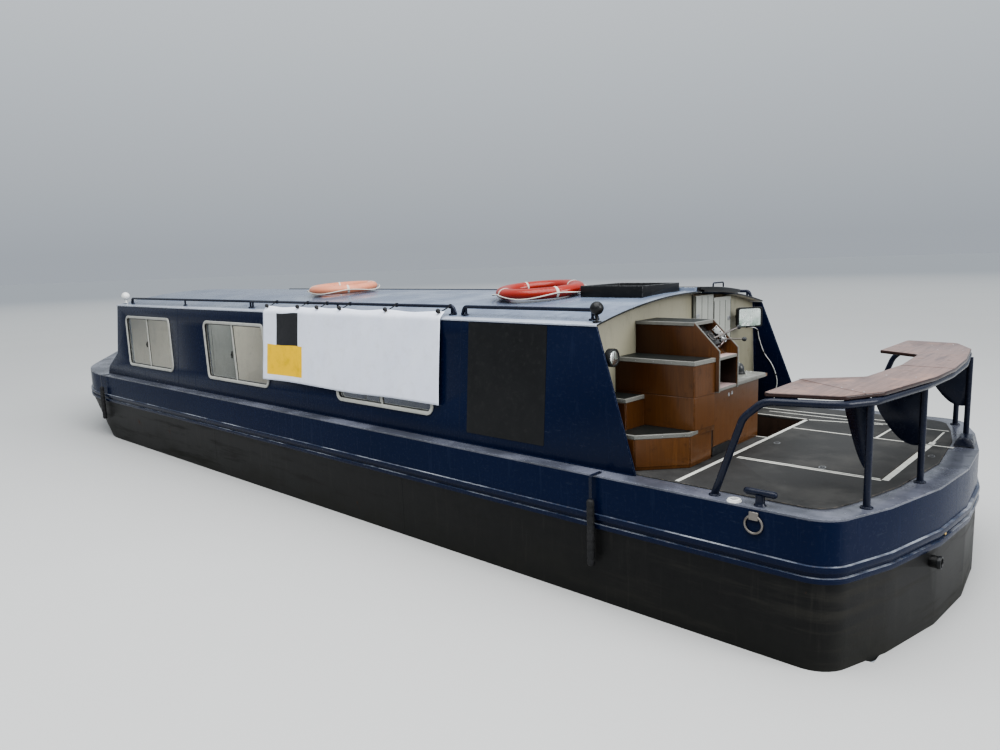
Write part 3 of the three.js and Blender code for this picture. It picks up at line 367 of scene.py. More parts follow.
def deck_grey(name, light, dark, rough=0.42, highlight_band_from=9.0):
    """Blue-grey enamel, walked on: dull paths, grit in the corners and pale worn edges, and where a band is
    set, a pale band painted along the outer edge as a highlight
    """
    f = Finish(name, IOR=1.46)
    _, y, _ = f.axes()
    worn = f.noise(2.2, 6, 0.62).between(0.38, 0.66)
    grime = f.noise(9.0, 6, 0.68, (1, 1, 1), (3, 7, 0)).between(0.54, 0.75)
    spots = f.cells(26).between(0.06, 0.16, 1.0, 0.0) * f.noise(3.1, 3).between(0.5, 0.66)
    streaks = f.noise(5.0, 5, 0.6, (0.9, 3.0, 1.0), (1, 4, 2)).between(0.5, 0.72)
    colour = f.layered(dark, (
        (worn, light),
        (streaks * 0.22, shade(light, 1.25)),
        (grime * 0.38, shade(dark, 0.36)),
        (spots * 0.3, (0.62, 0.62, 0.6)),
        # A pale band painted along the outer edge, from the given distance out: a painted highlight
        (y.size().between(highlight_band_from, highlight_band_from + 0.02) * 0.55, (0.50, 0.53, 0.60)),
        (f.wear(38) * 0.55, (0.55, 0.57, 0.6))))
    roughness = rough - worn * 0.14 + grime * 0.26
    fine = f.bumped(f.noise(190, 4, 0.6), 0.00035, 0.5, f.bumped(f.noise(1.8, 2), 0.004, 0.4))
    return f.done(Base_Color=colour, Roughness=roughness, Normal=fine)


def non_slip():
    """Charcoal boards with a fine grit in the paint, dusty where they are walked on"""
    f = Finish("non_slip_board", IOR=1.4)
    dusty = f.noise(2.6, 6, 0.66).between(0.42, 0.72)
    stain = f.noise(6.0, 5, 0.6, (1, 1, 1), (2, 2, 2)).between(0.58, 0.7)
    specks = f.cells(9).between(0.03, 0.05, 1.0, 0.0) * f.noise(2.0, 2).between(0.45, 0.6)
    grit = f.noise(520, 3, 0.7)
    colour = f.layered((0.0145, 0.0148, 0.0152), (
        (grit, (0.036, 0.036, 0.0355)),
        (dusty * 0.42, (0.110, 0.108, 0.102)),
        (stain * 0.4, (0.012, 0.012, 0.012)),
        (specks * 0.6, (0.42, 0.41, 0.38)),
        (f.wear(40) * 0.5, (0.16, 0.13, 0.10))))
    return f.done(Base_Color=colour, Roughness=0.66 + dusty * 0.2,
                  Normal=f.bumped(grit + dusty * 0.2, 0.0009, 0.7))


def brushed_enamel(name, light, dark):
    """Pale brushed enamel with faint brush marks and grime low down and in the corners"""
    f = Finish(name, IOR=1.46)
    broad = f.noise(2.4, 5, 0.6)
    marks = f.noise(60.0, 3, 0.5, (1.0, 1.0, 0.12))
    streaks = f.noise(13, 5, 0.6, (1.4, 1.4, 0.14)).between(0.52, 0.74)
    grime = f.noise(11, 6, 0.7, (1, 1, 0.5)).between(0.55, 0.76)
    colour = f.layered(dark, (
        (broad, light),
        (streaks * 0.25, shade(dark, 0.55)),
        (grime * 0.35, shade(dark, 0.35)),
        (f.wear(50) * 0.6, (0.2, 0.17, 0.13))))
    return f.done(Base_Color=colour, Roughness=0.34 + grime * 0.3 + broad * 0.06,
                  Normal=f.bumped(marks, 0.00045, 0.5, f.bumped(f.noise(2.5, 2), 0.003, 0.4)))


def varnished_ply(name, dark, middle, light, coat=0.22, worn=0.0, painted_light_and_shade=False):
    """Varnished plywood: long grain with darker pores and rubbed patches, and at the helm, where it is asked
    for, painted light and shade
    """
    f = Finish(name, IOR=1.5, Coat_Roughness=0.16, Specular_IOR_Level=0.22)
    place = f.own_map("grain")
    bent = f.noise(1.4, 3, 0.5, (1.0, 0.5, 1), place=place)
    wave = f.noise(3.2, 7, 0.62, (9.0, 0.42, 1), warp=0.5, place=place)
    rings = ((wave * 7.0 + bent * 3.0) * 3.1).sine() * 0.5 + 0.5
    pores = f.noise(90, 3, 0.6, (4.0, 0.09, 1), place=place).between(0.55, 0.72)
    tone = wave * 0.55 + rings * 0.22 + bent * 0.23
    colour = f.graded(tone, [(0.25, dark), (0.5, middle), (0.75, light)])
    colour = f.mixed(pores * 0.5, colour, shade(dark, 0.45))
    # Painted light and shade at the helm: darker high up and forward, as the shade under the roof's overhang,
    # and paler low down and astern, as the light falling there
    if painted_light_and_shade:
        forward, _, up = f.axes()
        astern = 0.0 - forward
        painted_light_share = astern.between(4.30, 4.90) * 0.5 + (0.0 - up).between(-2.0, -1.40) * 0.5
        outdoors = astern.between(4.10, 4.18)
        colour = f.mixed((1.0 - painted_light_share) * outdoors * 0.85, colour, shade(dark, 0.5))
        colour = f.mixed(painted_light_share * outdoors * 0.40, colour, (0.170, 0.078, 0.029))
    rubbed = f.noise(4.2, 6, 0.66, place=place).between(0.5, 0.74)
    colour = f.mixed(rubbed * worn, colour, tuple(min(1.0, 1.5 * c + 0.06) for c in light))
    dirty = f.noise(13, 5, 0.7).between(0.56, 0.72)
    colour = f.layered(colour, (
        (dirty * 0.35, shade(dark, 0.35)),
        (f.wear(55) * 0.65, shade(dark, 0.5))))
    rough = 0.32 + rubbed * (0.16 + 0.2 * worn) + dirty * 0.15
    return f.done(Base_Color=colour, Roughness=rough, Coat_Weight=coat - rubbed * 0.4 * coat,
                  Normal=f.bumped(pores + wave * 0.4, 0.0004, 0.5))


def moulded(name, base, rough=0.45, dusty=0.22, fine=330.0):
    """Plastic, rubber or satin paint with dust in its fine texture"""
    f = Finish(name, IOR=1.48, Specular_IOR_Level=0.28)
    dust = f.noise(22, 6, 0.7).between(0.5, 0.74)
    colour = f.layered(base, (
        (f.noise(8, 4), tuple(min(1.0, 1.6 * c + 0.004) for c in base)),
        (dust * dusty, (0.16, 0.155, 0.145)),
        (f.wear(70) * 0.5, (0.14, 0.14, 0.14))))
    return f.done(Base_Color=colour, Roughness=rough + dust * 0.2,
                  Normal=f.bumped(f.noise(fine, 3), 0.0003, 0.5))


def bare_metal(name, light, dark, rough=0.28, brushed=(1, 1, 12), tarnish=(0.2, 0.19, 0.17)):
    """Metal with fine brush lines, dull spots and tarnish"""
    f = Finish(name, Metallic=1.0)
    lines = f.noise(130, 4, 0.6, brushed)
    dull = f.noise(17, 6, 0.66).between(0.5, 0.72)
    colour = f.layered(dark, (
        (lines, light),
        (dull * 0.5, tarnish)))
    return f.done(Base_Color=colour, Roughness=rough + dull * 0.28 + lines * 0.08,
                  Normal=f.bumped(lines + dull * 0.3, 0.00025, 0.4))


def clear_glass(name, tint, film_share=0.3):
    """Window glass with a faint film of dust"""
    f = Finish(name, IOR=1.45, Transmission_Weight=1.0)
    film = f.noise(5.0, 6, 0.7).between(0.42, 0.8)
    runs = f.noise(30, 4, 0.6, (1, 1, 0.14)).between(0.55, 0.8)
    colour = f.mixed(film * film_share + runs * 0.12, tint, (0.55, 0.58, 0.58))
    return f.done(Base_Color=colour, Roughness=0.015 + film * 0.05 + runs * 0.05)


def dirty_white(name, light, dark, rough=0.4, grime_scale=16.0):
    """A pale or bright moulding with grime on it"""
    f = Finish(name, IOR=1.46)
    grime = f.noise(grime_scale, 6, 0.7).between(0.48, 0.74)
    colour = f.layered(dark, (
        (f.noise(5, 4), light),
        (grime * 0.36, shade(dark, 0.35)),
        (f.wear(60) * 0.5, (0.16, 0.15, 0.14))))
    return f.done(Base_Color=colour, Roughness=rough + grime * 0.25,
                  Normal=f.bumped(f.noise(240, 3), 0.0002, 0.4))


def printed_sheet():
    """Woven plastic sheet, white with a dark block and a yellow block, dusty along its lower edge"""
    f = Finish("banner_sheet", IOR=1.42)
    place = f.own_map("cloth")
    across, up, _ = f.axes(place)
    weave = (across * 2100).sine() * (up * 2100).sine()
    dust = f.noise(9, 6, 0.7).between(0.45, 0.75)
    creases_with_painted_shade = f.noise(2.6, 4, 0.55, (1.4, 0.8, 1), place=place)
    # The sheet is paler on the creases' ridges and darker in their hollows: painted light and shade of the
    # creases
    colour = f.layered((0.62, 0.66, 0.78), (
        (creases_with_painted_shade, (0.78, 0.81, 0.88)),
        (dust * 0.22, (0.42, 0.42, 0.42))))
    block = across.near(2.190, 0.190, 0.002) * up.near(0.525, 0.160, 0.002)
    colour = f.mixed(block, colour, (0.012, 0.012, 0.014))
    plate = across.near(2.240, 0.310, 0.003) * up.near(0.212, 0.151, 0.003)
    colour = f.mixed(plate, colour, f.mixed(dust, (0.84, 0.52, 0.004), (0.66, 0.40, 0.008)))
    return f.done(Base_Color=colour, Roughness=0.44 + dust * 0.2,
                  Normal=f.bumped(weave, 0.00012, 0.35, f.bumped(creases_with_painted_shade, 0.004, 0.25)))


def woven(name, light, dark):
    """Coarse upholstery cloth: crossed threads, paler where it is sat on"""
    f = Finish(name, Sheen_Weight=0.35, Sheen_Roughness=0.5)
    x, y, z = f.axes()
    threads = (x * 1900).sine() * ((y + z) * 1900).sine()
    faded = f.noise(3.0, 5, 0.6).between(0.4, 0.7)
    colour = f.layered(dark, (
        (faded, light),
        (f.noise(26, 5, 0.7).between(0.55, 0.75) * 0.3, (0.10, 0.095, 0.09))))
    return f.done(Base_Color=colour, Roughness=0.82 + faded * 0.08, Normal=f.bumped(threads, 0.0005, 0.6))


def lamp_mirror():
    """The lamp's mirror behind ribbed glass: bright above, and clouded green-grey towards the bottom as painted
    shade
    """
    f = Finish("lamp_reflector", Metallic=1.0)
    across, along, up = f.axes()
    ribs = ((across + along) * 260.0).sine() * 0.5 + 0.5
    clouded = f.noise(16, 4, 0.6, warp=0.6).between(0.40, 0.62)
    # Painted shade: the green-grey clouding grows stronger lower down
    low = up.between(2.075, 2.155, 1.0, 0.15)
    colour = f.layered((0.97, 0.99, 0.98), (
        (clouded * low * 0.75, (0.30, 0.44, 0.36)),
        (ribs * 0.12, (0.55, 0.62, 0.58))))
    return f.done(Base_Color=colour, Roughness=0.24 + clouded * 0.2, Normal=f.bumped(ribs, 0.0008, 0.5))


LOOK = {
    "hull_black": hull_blacking(),
    "navy_paint": navy_gloss(),
    "deck_paint": deck_grey("deck_enamel", (0.125, 0.132, 0.165), (0.050, 0.054, 0.070), 0.30),
    # The roof has a painted highlight along its outer edge
    "roof_paint": deck_grey("roof_enamel", (0.170, 0.205, 0.268), (0.098, 0.122, 0.176), 0.27, 1.235),
    "cream_paint": brushed_enamel("cream_enamel", (0.270, 0.256, 0.190), (0.205, 0.193, 0.142)),
    "pale_grey_paint": brushed_enamel("door_grey", (0.315, 0.325, 0.295), (0.235, 0.24, 0.22)),
    # The helm's ply carries painted light and shade
    "varnished_wood": varnished_ply("locker_ply", (0.031, 0.0095, 0.0024), (0.074, 0.026, 0.0054),
                                    (0.130, 0.050, 0.0115), painted_light_and_shade=True),
    "seat_wood": varnished_ply("seat_ply", (0.075, 0.030, 0.020), (0.17, 0.088, 0.064), (0.29, 0.175, 0.135),
                               0.7, 0.4),
    "black_plastic": moulded("black_moulding", (0.010, 0.0105, 0.011), 0.42, 0.1),
    "black_paint": moulded("black_enamel", (0.0065, 0.007, 0.008), 0.30, 0.06),
    "non_slip_board": non_slip(),
    "window_glass": clear_glass("clear_glass", (0.93, 0.97, 0.95), 0.12),
    "rail_paint": moulded("rail_enamel", (0.0038, 0.0062, 0.0165), 0.24, 0.04),
    "engine_iron": brushed_enamel("engine_green", (0.05, 0.10, 0.07), (0.025, 0.05, 0.035)),
    "panel_metal": bare_metal("panel_metal", (0.74, 0.75, 0.76), (0.55, 0.56, 0.57)),
    "propeller_bronze": bare_metal("propeller_bronze", (0.72, 0.48, 0.20), (0.42, 0.25, 0.10), 0.3, (1, 9, 1),
                                   (0.10, 0.12, 0.07)),
    "ring_plastic": dirty_white("ring_orange", (0.290, 0.017, 0.006), (0.200, 0.010, 0.004), 0.28, 9.0),
    "fender_rubber": moulded("fender_rubber", (0.011, 0.011, 0.012), 0.6),
    "white_plastic": dirty_white("white_moulding", (0.74, 0.75, 0.74), (0.5, 0.5, 0.48)),
    "banner_cloth": printed_sheet(),
    "bench_cloth": woven("bench_cloth", (0.045, 0.06, 0.12), (0.022, 0.03, 0.07)),
}
# The strakes' pale line: wear and a painted highlight
STRAKE_WEAR_AND_HIGHLIGHT = rubbed_strake()
FRAME_SILVER = dirty_white("window_frame", (0.42, 0.42, 0.385), (0.31, 0.31, 0.28), 0.34, 12.0)
EDGE_TRIM = dirty_white("edge_trim", (0.185, 0.185, 0.170), (0.122, 0.122, 0.110), 0.38, 12.0)
LID_BLACK = moulded("lid_covering", (0.0050, 0.0065, 0.0062), 0.44, 0.04, 140.0)
SHELF_LINING = dirty_white("shelf_lining", (0.46, 0.36, 0.35), (0.36, 0.27, 0.26), 0.3)
LINE_WHITE = dirty_white("deck_line", (0.62, 0.62, 0.58), (0.44, 0.44, 0.40), 0.5, 30.0)
LINING = brushed_enamel("cabin_lining", (0.62, 0.58, 0.49), (0.52, 0.48, 0.40))
RUBBER = moulded("rubber_seal", (0.010, 0.010, 0.011), 0.55)
SIGN_BLACK = moulded("sign_black", (0.0050, 0.0052, 0.0058), 0.33, 0.05)
CHROME = bare_metal("chrome", (0.86, 0.87, 0.88), (0.74, 0.75, 0.76), 0.08, (1, 1, 1), (0.5, 0.49, 0.47))
ZINC = bare_metal("zinc_steel", (0.46, 0.47, 0.48), (0.30, 0.31, 0.32), 0.42)
GALVANISED = bare_metal("galvanised", (0.30, 0.285, 0.265), (0.16, 0.145, 0.13), 0.5,
                        tarnish=(0.12, 0.08, 0.055))
WORN_STEEL = bare_metal("worn_steel", (0.16, 0.145, 0.14), (0.085, 0.078, 0.075), 0.36)
BRASS = bare_metal("brass", (0.80, 0.60, 0.25), (0.6, 0.42, 0.16), 0.25)
REFLECTOR = lamp_mirror()
SMOKED = moulded("smoked_dome", (0.022, 0.024, 0.026), 0.12, 0.1)
DARK_EDGE = varnished_ply("seat_edge", (0.012, 0.0042, 0.0034), (0.024, 0.0080, 0.0065), (0.040, 0.014, 0.011),
                          0.4)
ROPE_WHITE = dirty_white("grab_line", (0.58, 0.57, 0.52), (0.4, 0.39, 0.35), 0.8, 60.0)
# Near-black ply as painted shade: on the inside walls of the console's bay and on the companion steps
SHADE_PAINTED_PLY = varnished_ply("shelf_inside", (0.012, 0.007, 0.005), (0.022, 0.012, 0.008), (0.034, 0.018, 0.012),
                            0.2)
FADED_RING = dirty_white("ring_faded", (0.60, 0.255, 0.155), (0.47, 0.165, 0.095), 0.45, 9.0)

# The slot that goes with each finish that is none of the frame's own
SLOT_OF = {finish.name: slot for slot, finishes in (
    ("black_plastic", (RUBBER, LID_BLACK, SMOKED, SIGN_BLACK)),
    ("panel_metal", (FRAME_SILVER, CHROME, ZINC, GALVANISED, WORN_STEEL, REFLECTOR)),
    ("white_plastic", (SHELF_LINING, LINE_WHITE, ROPE_WHITE)),
    ("cream_paint", (EDGE_TRIM,)),
    ("propeller_bronze", (BRASS,)),
    ("seat_wood", (DARK_EDGE,)),
    ("varnished_wood", (SHADE_PAINTED_PLY,)),
) for finish in finishes}


# Making meshes


def eased(points, radii, closed=False, steps=5):
    """Rounds the corners of a path in two or three dimensions"""
    made = []
    count = len(points)
    radii = [radii] * count if isinstance(radii, (int, float)) else radii
    for k, radius in enumerate(radii):
        here = Vector(points[k])
        if radius <= 0 or (not closed and k in (0, count - 1)):
            made.append(here)
            continue
        before = (Vector(points[k - 1]) - here).normalized()
        after = (Vector(points[(k + 1) % count]) - here).normalized()
        half = before.angle(after) / 2
        centre = here + (before + after).normalized() * (radius / math.sin(half))
        run = radius / math.tan(half)
        first, last = here + before * run - centre, here + after * run - centre
        for s in range(steps + 1):
            made.append(centre + (first * (1 - s / steps) + last * (s / steps)).normalized() * radius)
    return made


def smooth_path(points, steps=6):
    """A curve through every point"""
    points = [Vector(p) for p in points]
    padded = [2 * points[0] - points[1]] + points + [2 * points[-1] - points[-2]]
    made = []
    for k in range(1, len(padded) - 2):
        a, b, c, d = padded[k - 1:k + 3]
        for s in range(steps):
            t = s / steps
            made.append(0.5 * (2 * b + (c - a) * t + (2 * a - 5 * b + 4 * c - d) * t * t
                               + (3 * b - a - 3 * c + d) * t ** 3))
    return made + [points[-1]]


def facing(at, out, along):
    """A place whose Z points out and whose X runs along"""
    z = Vector(out).normalized()
    x = (Vector(along) - z * Vector(along).dot(z)).normalized()
    place = Matrix((x, z.cross(x), z)).transposed().to_4x4()
    place.translation = at
    return place


def grain_map(mesh, axis):
    """A UV map in metres on every face, whose V runs along one axis, so that the grain does too"""
    layer = mesh.uv_layers.get("grain") or mesh.uv_layers.new(name="grain")
    others = [a for a in range(3) if a != axis]
    for face in mesh.polygons:
        normal = Vector([abs(c) for c in face.normal])
        across = min(others, key=lambda a: normal[a])
        flat = normal[axis] > 0.8
        for corner in face.loop_indices:
            at = mesh.vertices[mesh.loops[corner].vertex_index].co
            if flat:
                layer.data[corner].uv = (at[others[0]], at[others[1]])
            else:
                layer.data[corner].uv = (at[across] + 3.7 * normal[others[0]], at[axis])


class Shape:
    """A mesh in the making. Each call adds one closed form"""

    def __init__(self, bm=None):
        self.bm = bm or bmesh.new()
        self.edge = self.bm.faces.layers.float.get("edge") or self.bm.faces.layers.float.new("edge")

    def skin(self, rows, wrap=False):
        """A skin over rings of points, closed by a cap at each end or by joining the last ring to the first"""
        made = [[self.bm.verts.new(p) for p in row] for row in rows]
        faces = []
        count = len(made[0])
        for k in range(len(made) if wrap else len(made) - 1):
            a, b = made[k], made[(k + 1) % len(made)]
            for j in range(count):
                n = (j + 1) % count
                faces.append(self.bm.faces.new((a[j], a[n], b[n], b[j])))
        if not wrap:
            faces.append(self.bm.faces.new(list(reversed(made[0]))))
            faces.append(self.bm.faces.new(made[-1]))
        return faces

    def soften(self, faces, width, segments=2, angle=30.0):
        """Rounds the sharp edges of these faces and marks the new ones for wear"""
        bmesh.ops.recalc_face_normals(self.bm, faces=faces)
        edges = {e for f in faces for e in f.edges}
        sharp = [e for e in edges if len(e.link_faces) == 2 and e.calc_face_angle(0.0) > math.radians(angle)]
        if sharp and width > 0:
            made = bmesh.ops.bevel(self.bm, geom=sharp, offset=width, offset_type="OFFSET", segments=segments,
                                   profile=0.5, affect="EDGES", clamp_overlap=True)
            for face in made["faces"]:
                face[self.edge] = 1.0
        return self

    def plate(self, outline, place=Matrix(), low=0.0, high=0.01, round_by=0.0, segments=2):
        """A flat plate between two levels of a place"""
        rows = [[place @ Vector((p[0], p[1], z)) for p in outline] for z in (low, high)]
        return self.soften(self.skin(rows), round_by, segments)

    def block(self, place, size, round_by=0.0, segments=2):
        """A box centred on a place"""
        x, y, z = (s / 2 for s in size)
        return self.plate(oblong(-x, -y, x, y), place, -z, z, round_by, segments)

    def turned(self, profile, place=Matrix(), sides=24):
        """A form turned about the place's Z, from (radius, height) pairs that start and end on the axis"""
        rings = []
        for radius, height in profile:
            if radius < 1e-6:
                rings.append([self.bm.verts.new(place @ Vector((0, 0, height)))])
            else:
                ring = [place @ Vector((x, y, height)) for x, y in oval(sides, radius)]
                rings.append([self.bm.verts.new(p) for p in ring])
        for a, b in zip(rings, rings[1:]):
            for k in range(sides):
                n = (k + 1) % sides
                corners = [a[k % len(a)], a[n % len(a)], b[n % len(b)], b[k % len(b)]]
                corners = [c for i, c in enumerate(corners) if c not in corners[:i]]
                if len(corners) > 2:
                    self.bm.faces.new(corners)
        return self

    def bar(self, path, radius, sides=10, wrap=False, domed=True):
        """A round bar along a path, carried round its bends without a twist"""
        path = [Vector(p) for p in path]
        count = len(path)
        radii = [radius] * count if isinstance(radius, (int, float)) else list(radius)
        ways = [(path[(k + 1) % count] - path[k]).normalized() for k in range(count if wrap else count - 1)]
        start = ways[0]
        side = start.cross(Vector((0, 0, 1)))
        side = (side if side.length > 0.1 else start.cross(Vector((0, 1, 0)))).normalized()
        rows = []
        for k in range(count):
            if wrap:
                way = (ways[k - 1] + ways[k]).normalized()
            else:
                way = (ways[max(k - 1, 0)] + ways[min(k, count - 2)]).normalized()
            side = start.rotation_difference(way) @ side
            start = way
            rise = way.cross(side)
            rows.append([path[k] + side * across + rise * up for across, up in oval(sides, radii[k])])
            if domed and not wrap and k in (0, count - 1):
                sign = -1 if k == 0 else 1
                ends = []
                for angle in (30, 60, 82):
                    turn = math.radians(angle)
                    ends.append([path[k] + sign * way * radii[k] * 0.9 * math.sin(turn)
                                 + (p - path[k]) * math.cos(turn) for p in rows[-1]])
                rows = ends[::-1] + rows if k == 0 else rows + ends
        self.skin(rows, wrap=wrap)
        return self

    def piece(self, name, looks, body="boat", slot=None, stands_for=None, smooth=38.0, grain=None,
              normals=True):
        """The finished object, which rides on a body"""
        if normals:
            bmesh.ops.recalc_face_normals(self.bm, faces=self.bm.faces)
        mesh = bpy.data.meshes.new(name)
        self.bm.to_mesh(mesh)
        self.bm.free()
        return dressed(name, mesh, looks, body, slot, stands_for, smooth, grain)


def dressed(name, mesh, looks, body, slot, stands_for=None, smooth=38.0, grain=None):
    """The object of a finished mesh, with its finishes, its body and the solids that it stands for"""
    mesh.shade_smooth()
    mesh.set_sharp_from_angle(angle=math.radians(smooth))
    for look in looks if isinstance(looks, list) else [looks]:
        mesh.materials.append(LOOK[look] if isinstance(look, str) else look)
    if slot is None and isinstance(looks, bpy.types.Material):
        slot = SLOT_OF.get(looks.name)
    if grain is not None:
        grain_map(mesh, grain)
    made = bpy.data.objects.new(name, mesh)
    bpy.context.scene.collection.objects.link(made)
    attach(made, body)
    if stands_for:
        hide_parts(stands_for)
    return made


def grown(name, paths, rule, look, body="boat", **inputs):
    """What a rule makes along paths. Each path is its points, its outward direction or one for each point, and
    whether it closes on itself"""
    bm = bmesh.new()
    outward = bm.verts.layers.float_vector.new("out")
    for points, out, closed in paths:
        verts = [bm.verts.new(point) for point in points]
        for k, vert in enumerate(verts):
            vert[outward] = Vector(out[k] if isinstance(out, list) else out)
        for a, b in zip(verts, verts[1:] + ([verts[0]] if closed else [])):
            bm.edges.new((a, b))
    mesh = bpy.data.meshes.new(name + "_path")
    bm.to_mesh(mesh)
    bm.free()
    line = bpy.data.objects.new(name + "_path", mesh)
    bpy.context.scene.collection.objects.link(line)
    modifier = line.modifiers.new("rule", "NODES")
    modifier.node_group = rule.tree
    finish = LOOK[look] if isinstance(look, str) else look
    for key, value in dict(inputs, Finish=finish).items():
        modifier[rule.inputs[key]] = value
    graph = bpy.context.evaluated_depsgraph_get()
    result = bpy.data.meshes.new_from_object(line.evaluated_get(graph), depsgraph=graph)
    line.modifiers.remove(modifier)
    bpy.data.objects.remove(line)
    result.materials.clear()
    return dressed(name, result, look, body, look if isinstance(look, str) else None)


def merged(node):
    """A welded copy of a solid, with its flat faces joined up again"""
    bm = bmesh.new()
    bm.from_mesh(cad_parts[node].data)
    bm.transform(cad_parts[node].matrix_world)
    bmesh.ops.remove_doubles(bm, verts=bm.verts, dist=2e-5)
    bmesh.ops.dissolve_limit(bm, angle_limit=math.radians(0.6), verts=bm.verts, edges=bm.edges)
    return bm


DOORS = ("aft_door_port", "aft_door_starboard", "fore_door_port", "fore_door_starboard")
MOVING = ("propeller", "rudder", "hatch", *DOORS)


def softened(node, looks, width=0.004, segments=2, grain=None, sort=None, smooth=38.0):
    """The solid's own shape with rounded edges, under a piece of its own"""
    shape = Shape(merged(node))
    shape.soften(list(shape.bm.faces), width, segments, 40.0)
    if sort:
        for face in shape.bm.faces:
            face.material_index = sort(face)
    first = looks[0] if isinstance(looks, list) else looks
    body = node if node in MOVING else "boat"
    shape.piece(node + "_piece", looks, body, first, node, smooth, grain, False)


SCREWS = ball_rule("screw_heads", 10, 6, Pitch=0.1, Width=0.006, Height=0.003)
WELD = ball_rule("weld_bead", 8, 4, Pitch=0.006, Width=0.006, Height=0.003)
BAR = bar_rule()
KNOBS = knob_rule()


# Hull, deck and stern floor

STRAKE_TOPS = (0.980, 1.044)
HULL_TOP = 1.288


def hull_sort(face):
    """Blacking below the strakes, blue above them, and a pale line on each strake's upper face, which is wear
    and a painted highlight
    """
    at = face.calc_center_median()
    level = at.z * HULL_TOP / (HULL_TOP + deck_lift(at.x))
    if face.normal.z > 0.35 and any(abs(level - top) < 0.007 for top in STRAKE_TOPS):
        return 2
    return 1 if level > 0.949 else 0


def transom_x(y):
    """How far aft the bowed transom stands at one distance from the centreline"""
    return -HALF_LENGTH + 0.33 * (y / 1.5) ** 2


def band(shape, path, profile, place=Matrix(), closed=False):
    """A strip whose section follows a flat path. The section's first number is out to the right of the path"""
    path = [Vector(p) for p in path]
    count = len(path)
    rows = []
    for k, point in enumerate(path):
        first = (point - path[k - 1]).normalized() if closed or k else (path[1] - point).normalized()
        last = (path[(k + 1) % count] - point).normalized() if closed or k < count - 1 else first
        right = Vector((first.y + last.y, -first.x - last.x)).normalized()
        stretch = 1 / max(0.4, right.dot(Vector((last.y, -last.x))))
        rows.append([place @ Vector((*(point + right * out * stretch), rise)) for out, rise in profile])
    shape.skin(rows, wrap=closed)


def strip_section(out, back, low, high, ease=0.0015):
    """The section of a flat strip with eased outer corners"""
    return [(back, low), (out - ease, low), (out, low + ease), (out, high - ease), (out - ease, high),
            (back, high)]


softened("hull", ["hull_black", "navy_paint", STRAKE_WEAR_AND_HIGHLIGHT], 0.005, sort=hull_sort, smooth=32)
softened("deck", "deck_paint", 0.004, 3)
softened("stern_boards", "non_slip_board", 0.0025)
softened("engine_board", "non_slip_board", 0.0025)
# The companion steps are wholly in the near-black ply, as painted shade
softened("companion_steps", ["varnished_wood", SHADE_PAINTED_PLY], 0.003, sort=lambda face: 1, grain=1)
softened("propeller", "propeller_bronze", 0.002, smooth=50)
softened("rudder", "hull_black", 0.004)
softened("engine", "engine_iron", 0.012, 3)
softened("stern_fairlead", "rail_paint", 0.008, 3)

# Lines of pale tape on the boards: from, to and width, astern of the roof's aft corner
TAPE = [
    ((-0.607, 1.325), (-0.607, -0.80), 0.029), ((-1.592, 0.590), (-1.592, -0.560), 0.038),
    ((-1.592, -0.560), (-1.580, -0.930), 0.014), ((-0.66, 0.577), (-1.562, 0.577), 0.014),
    ((-0.66, 0.604), (-1.575, 0.604), 0.018), ((-0.63, -0.468), (-1.74, -0.468), 0.018),
    ((-0.22, -0.985), (-1.60, -0.985), 0.016), ((-0.10, -1.095), (-1.30, -1.115), 0.018),
    ((-1.236, -0.485), (-1.245, -0.975), 0.018), ((-0.62, -0.820), (-1.15, -0.955), 0.018),
    ((-0.10, -0.835), (-0.60, -0.835), 0.016), ((-0.10, -0.050), (-0.60, -0.050), 0.016),
]


def deck_tape():
    """Lines of pale tape on the boards"""
    tape = Shape()
    for start, end, width in TAPE:
        start, end = (Vector((ROOF_AFT + x, y, BOARD_TOP - 0.0002)) for x, y in (start, end))
        place = facing((start + end) / 2, (0, 0, 1), end - start)
        tape.block(place, ((end - start).length, width, 0.0016), 0.0006, 1)
    tape.piece("deck_tape", LINE_WHITE)


def board_fittings():
    """Flush lifting rings and the finger hole in the boards, with their screws"""
    plates, holes, paths = Shape(), Shape(), []
    lip = [(0.0, 0.0), (0.0, 0.0016), (-0.002, 0.0022), (-0.005, 0.0016), (-0.005, 0.0)]
    spots = ((-1.673, -0.152, 0.034, 0.021), (-1.20, 0.52, 0.030, 0.022), (-0.72, 0.07, 0.030, 0.022))
    for x, y, long, wide in spots:
        at = Vector((ROOF_AFT + x, y, BOARD_TOP - 0.0004))
        place = facing(at, (0, 0, 1), (0, 1, 0))
        band(plates, oval(28, long, wide), lip, place, True)
        holes.plate(oval(28, long - 0.005, wide - 0.005), place, -0.001, 0.0006)
        screws = [at + Vector((0, end * long * 0.99, 0.0016)) for end in (1, -1)]
        paths.append((screws, (0, 0, 1), False))
    plates.piece("board_ring_plates", ZINC)
    holes.piece("board_ring_wells", RUBBER)
    grown("board_screws", paths, SCREWS, ZINC, Pitch=0.02, Width=0.0022, Height=0.0012)


def transom_fittings():
    """The brass drain and the exhaust's lip"""
    drain = Shape()
    at = Vector((transom_x(0.43) - 0.0006, 0.43, 0.995))
    drain.turned([(0, -0.004), (0.013, -0.004), (0.013, 0.002), (0.010, 0.004), (0.007, 0.003), (0.006, -0.001),
                  (0, -0.001)], facing(at, (-1, 0.06, 0), (0, 1, 0)), 20)
    drain.piece("transom_drain", BRASS)
    lip = Shape()
    lip.turned([(0.0285, 0.004), (0.0285, -0.002), (0.032, -0.005), (0.037, -0.004), (0.0385, 0.0),
                (0.0385, 0.016), (0.036, 0.018), (0.036, 0.004), (0.0285, 0.004)],
               facing((-6.195, 0.6, 0.87), (-1, 0, 0), (0, 1, 0)) @ Matrix.Scale(-1, 4, (0, 0, 1)), 28)
    lip.piece("exhaust_lip", "black_paint")


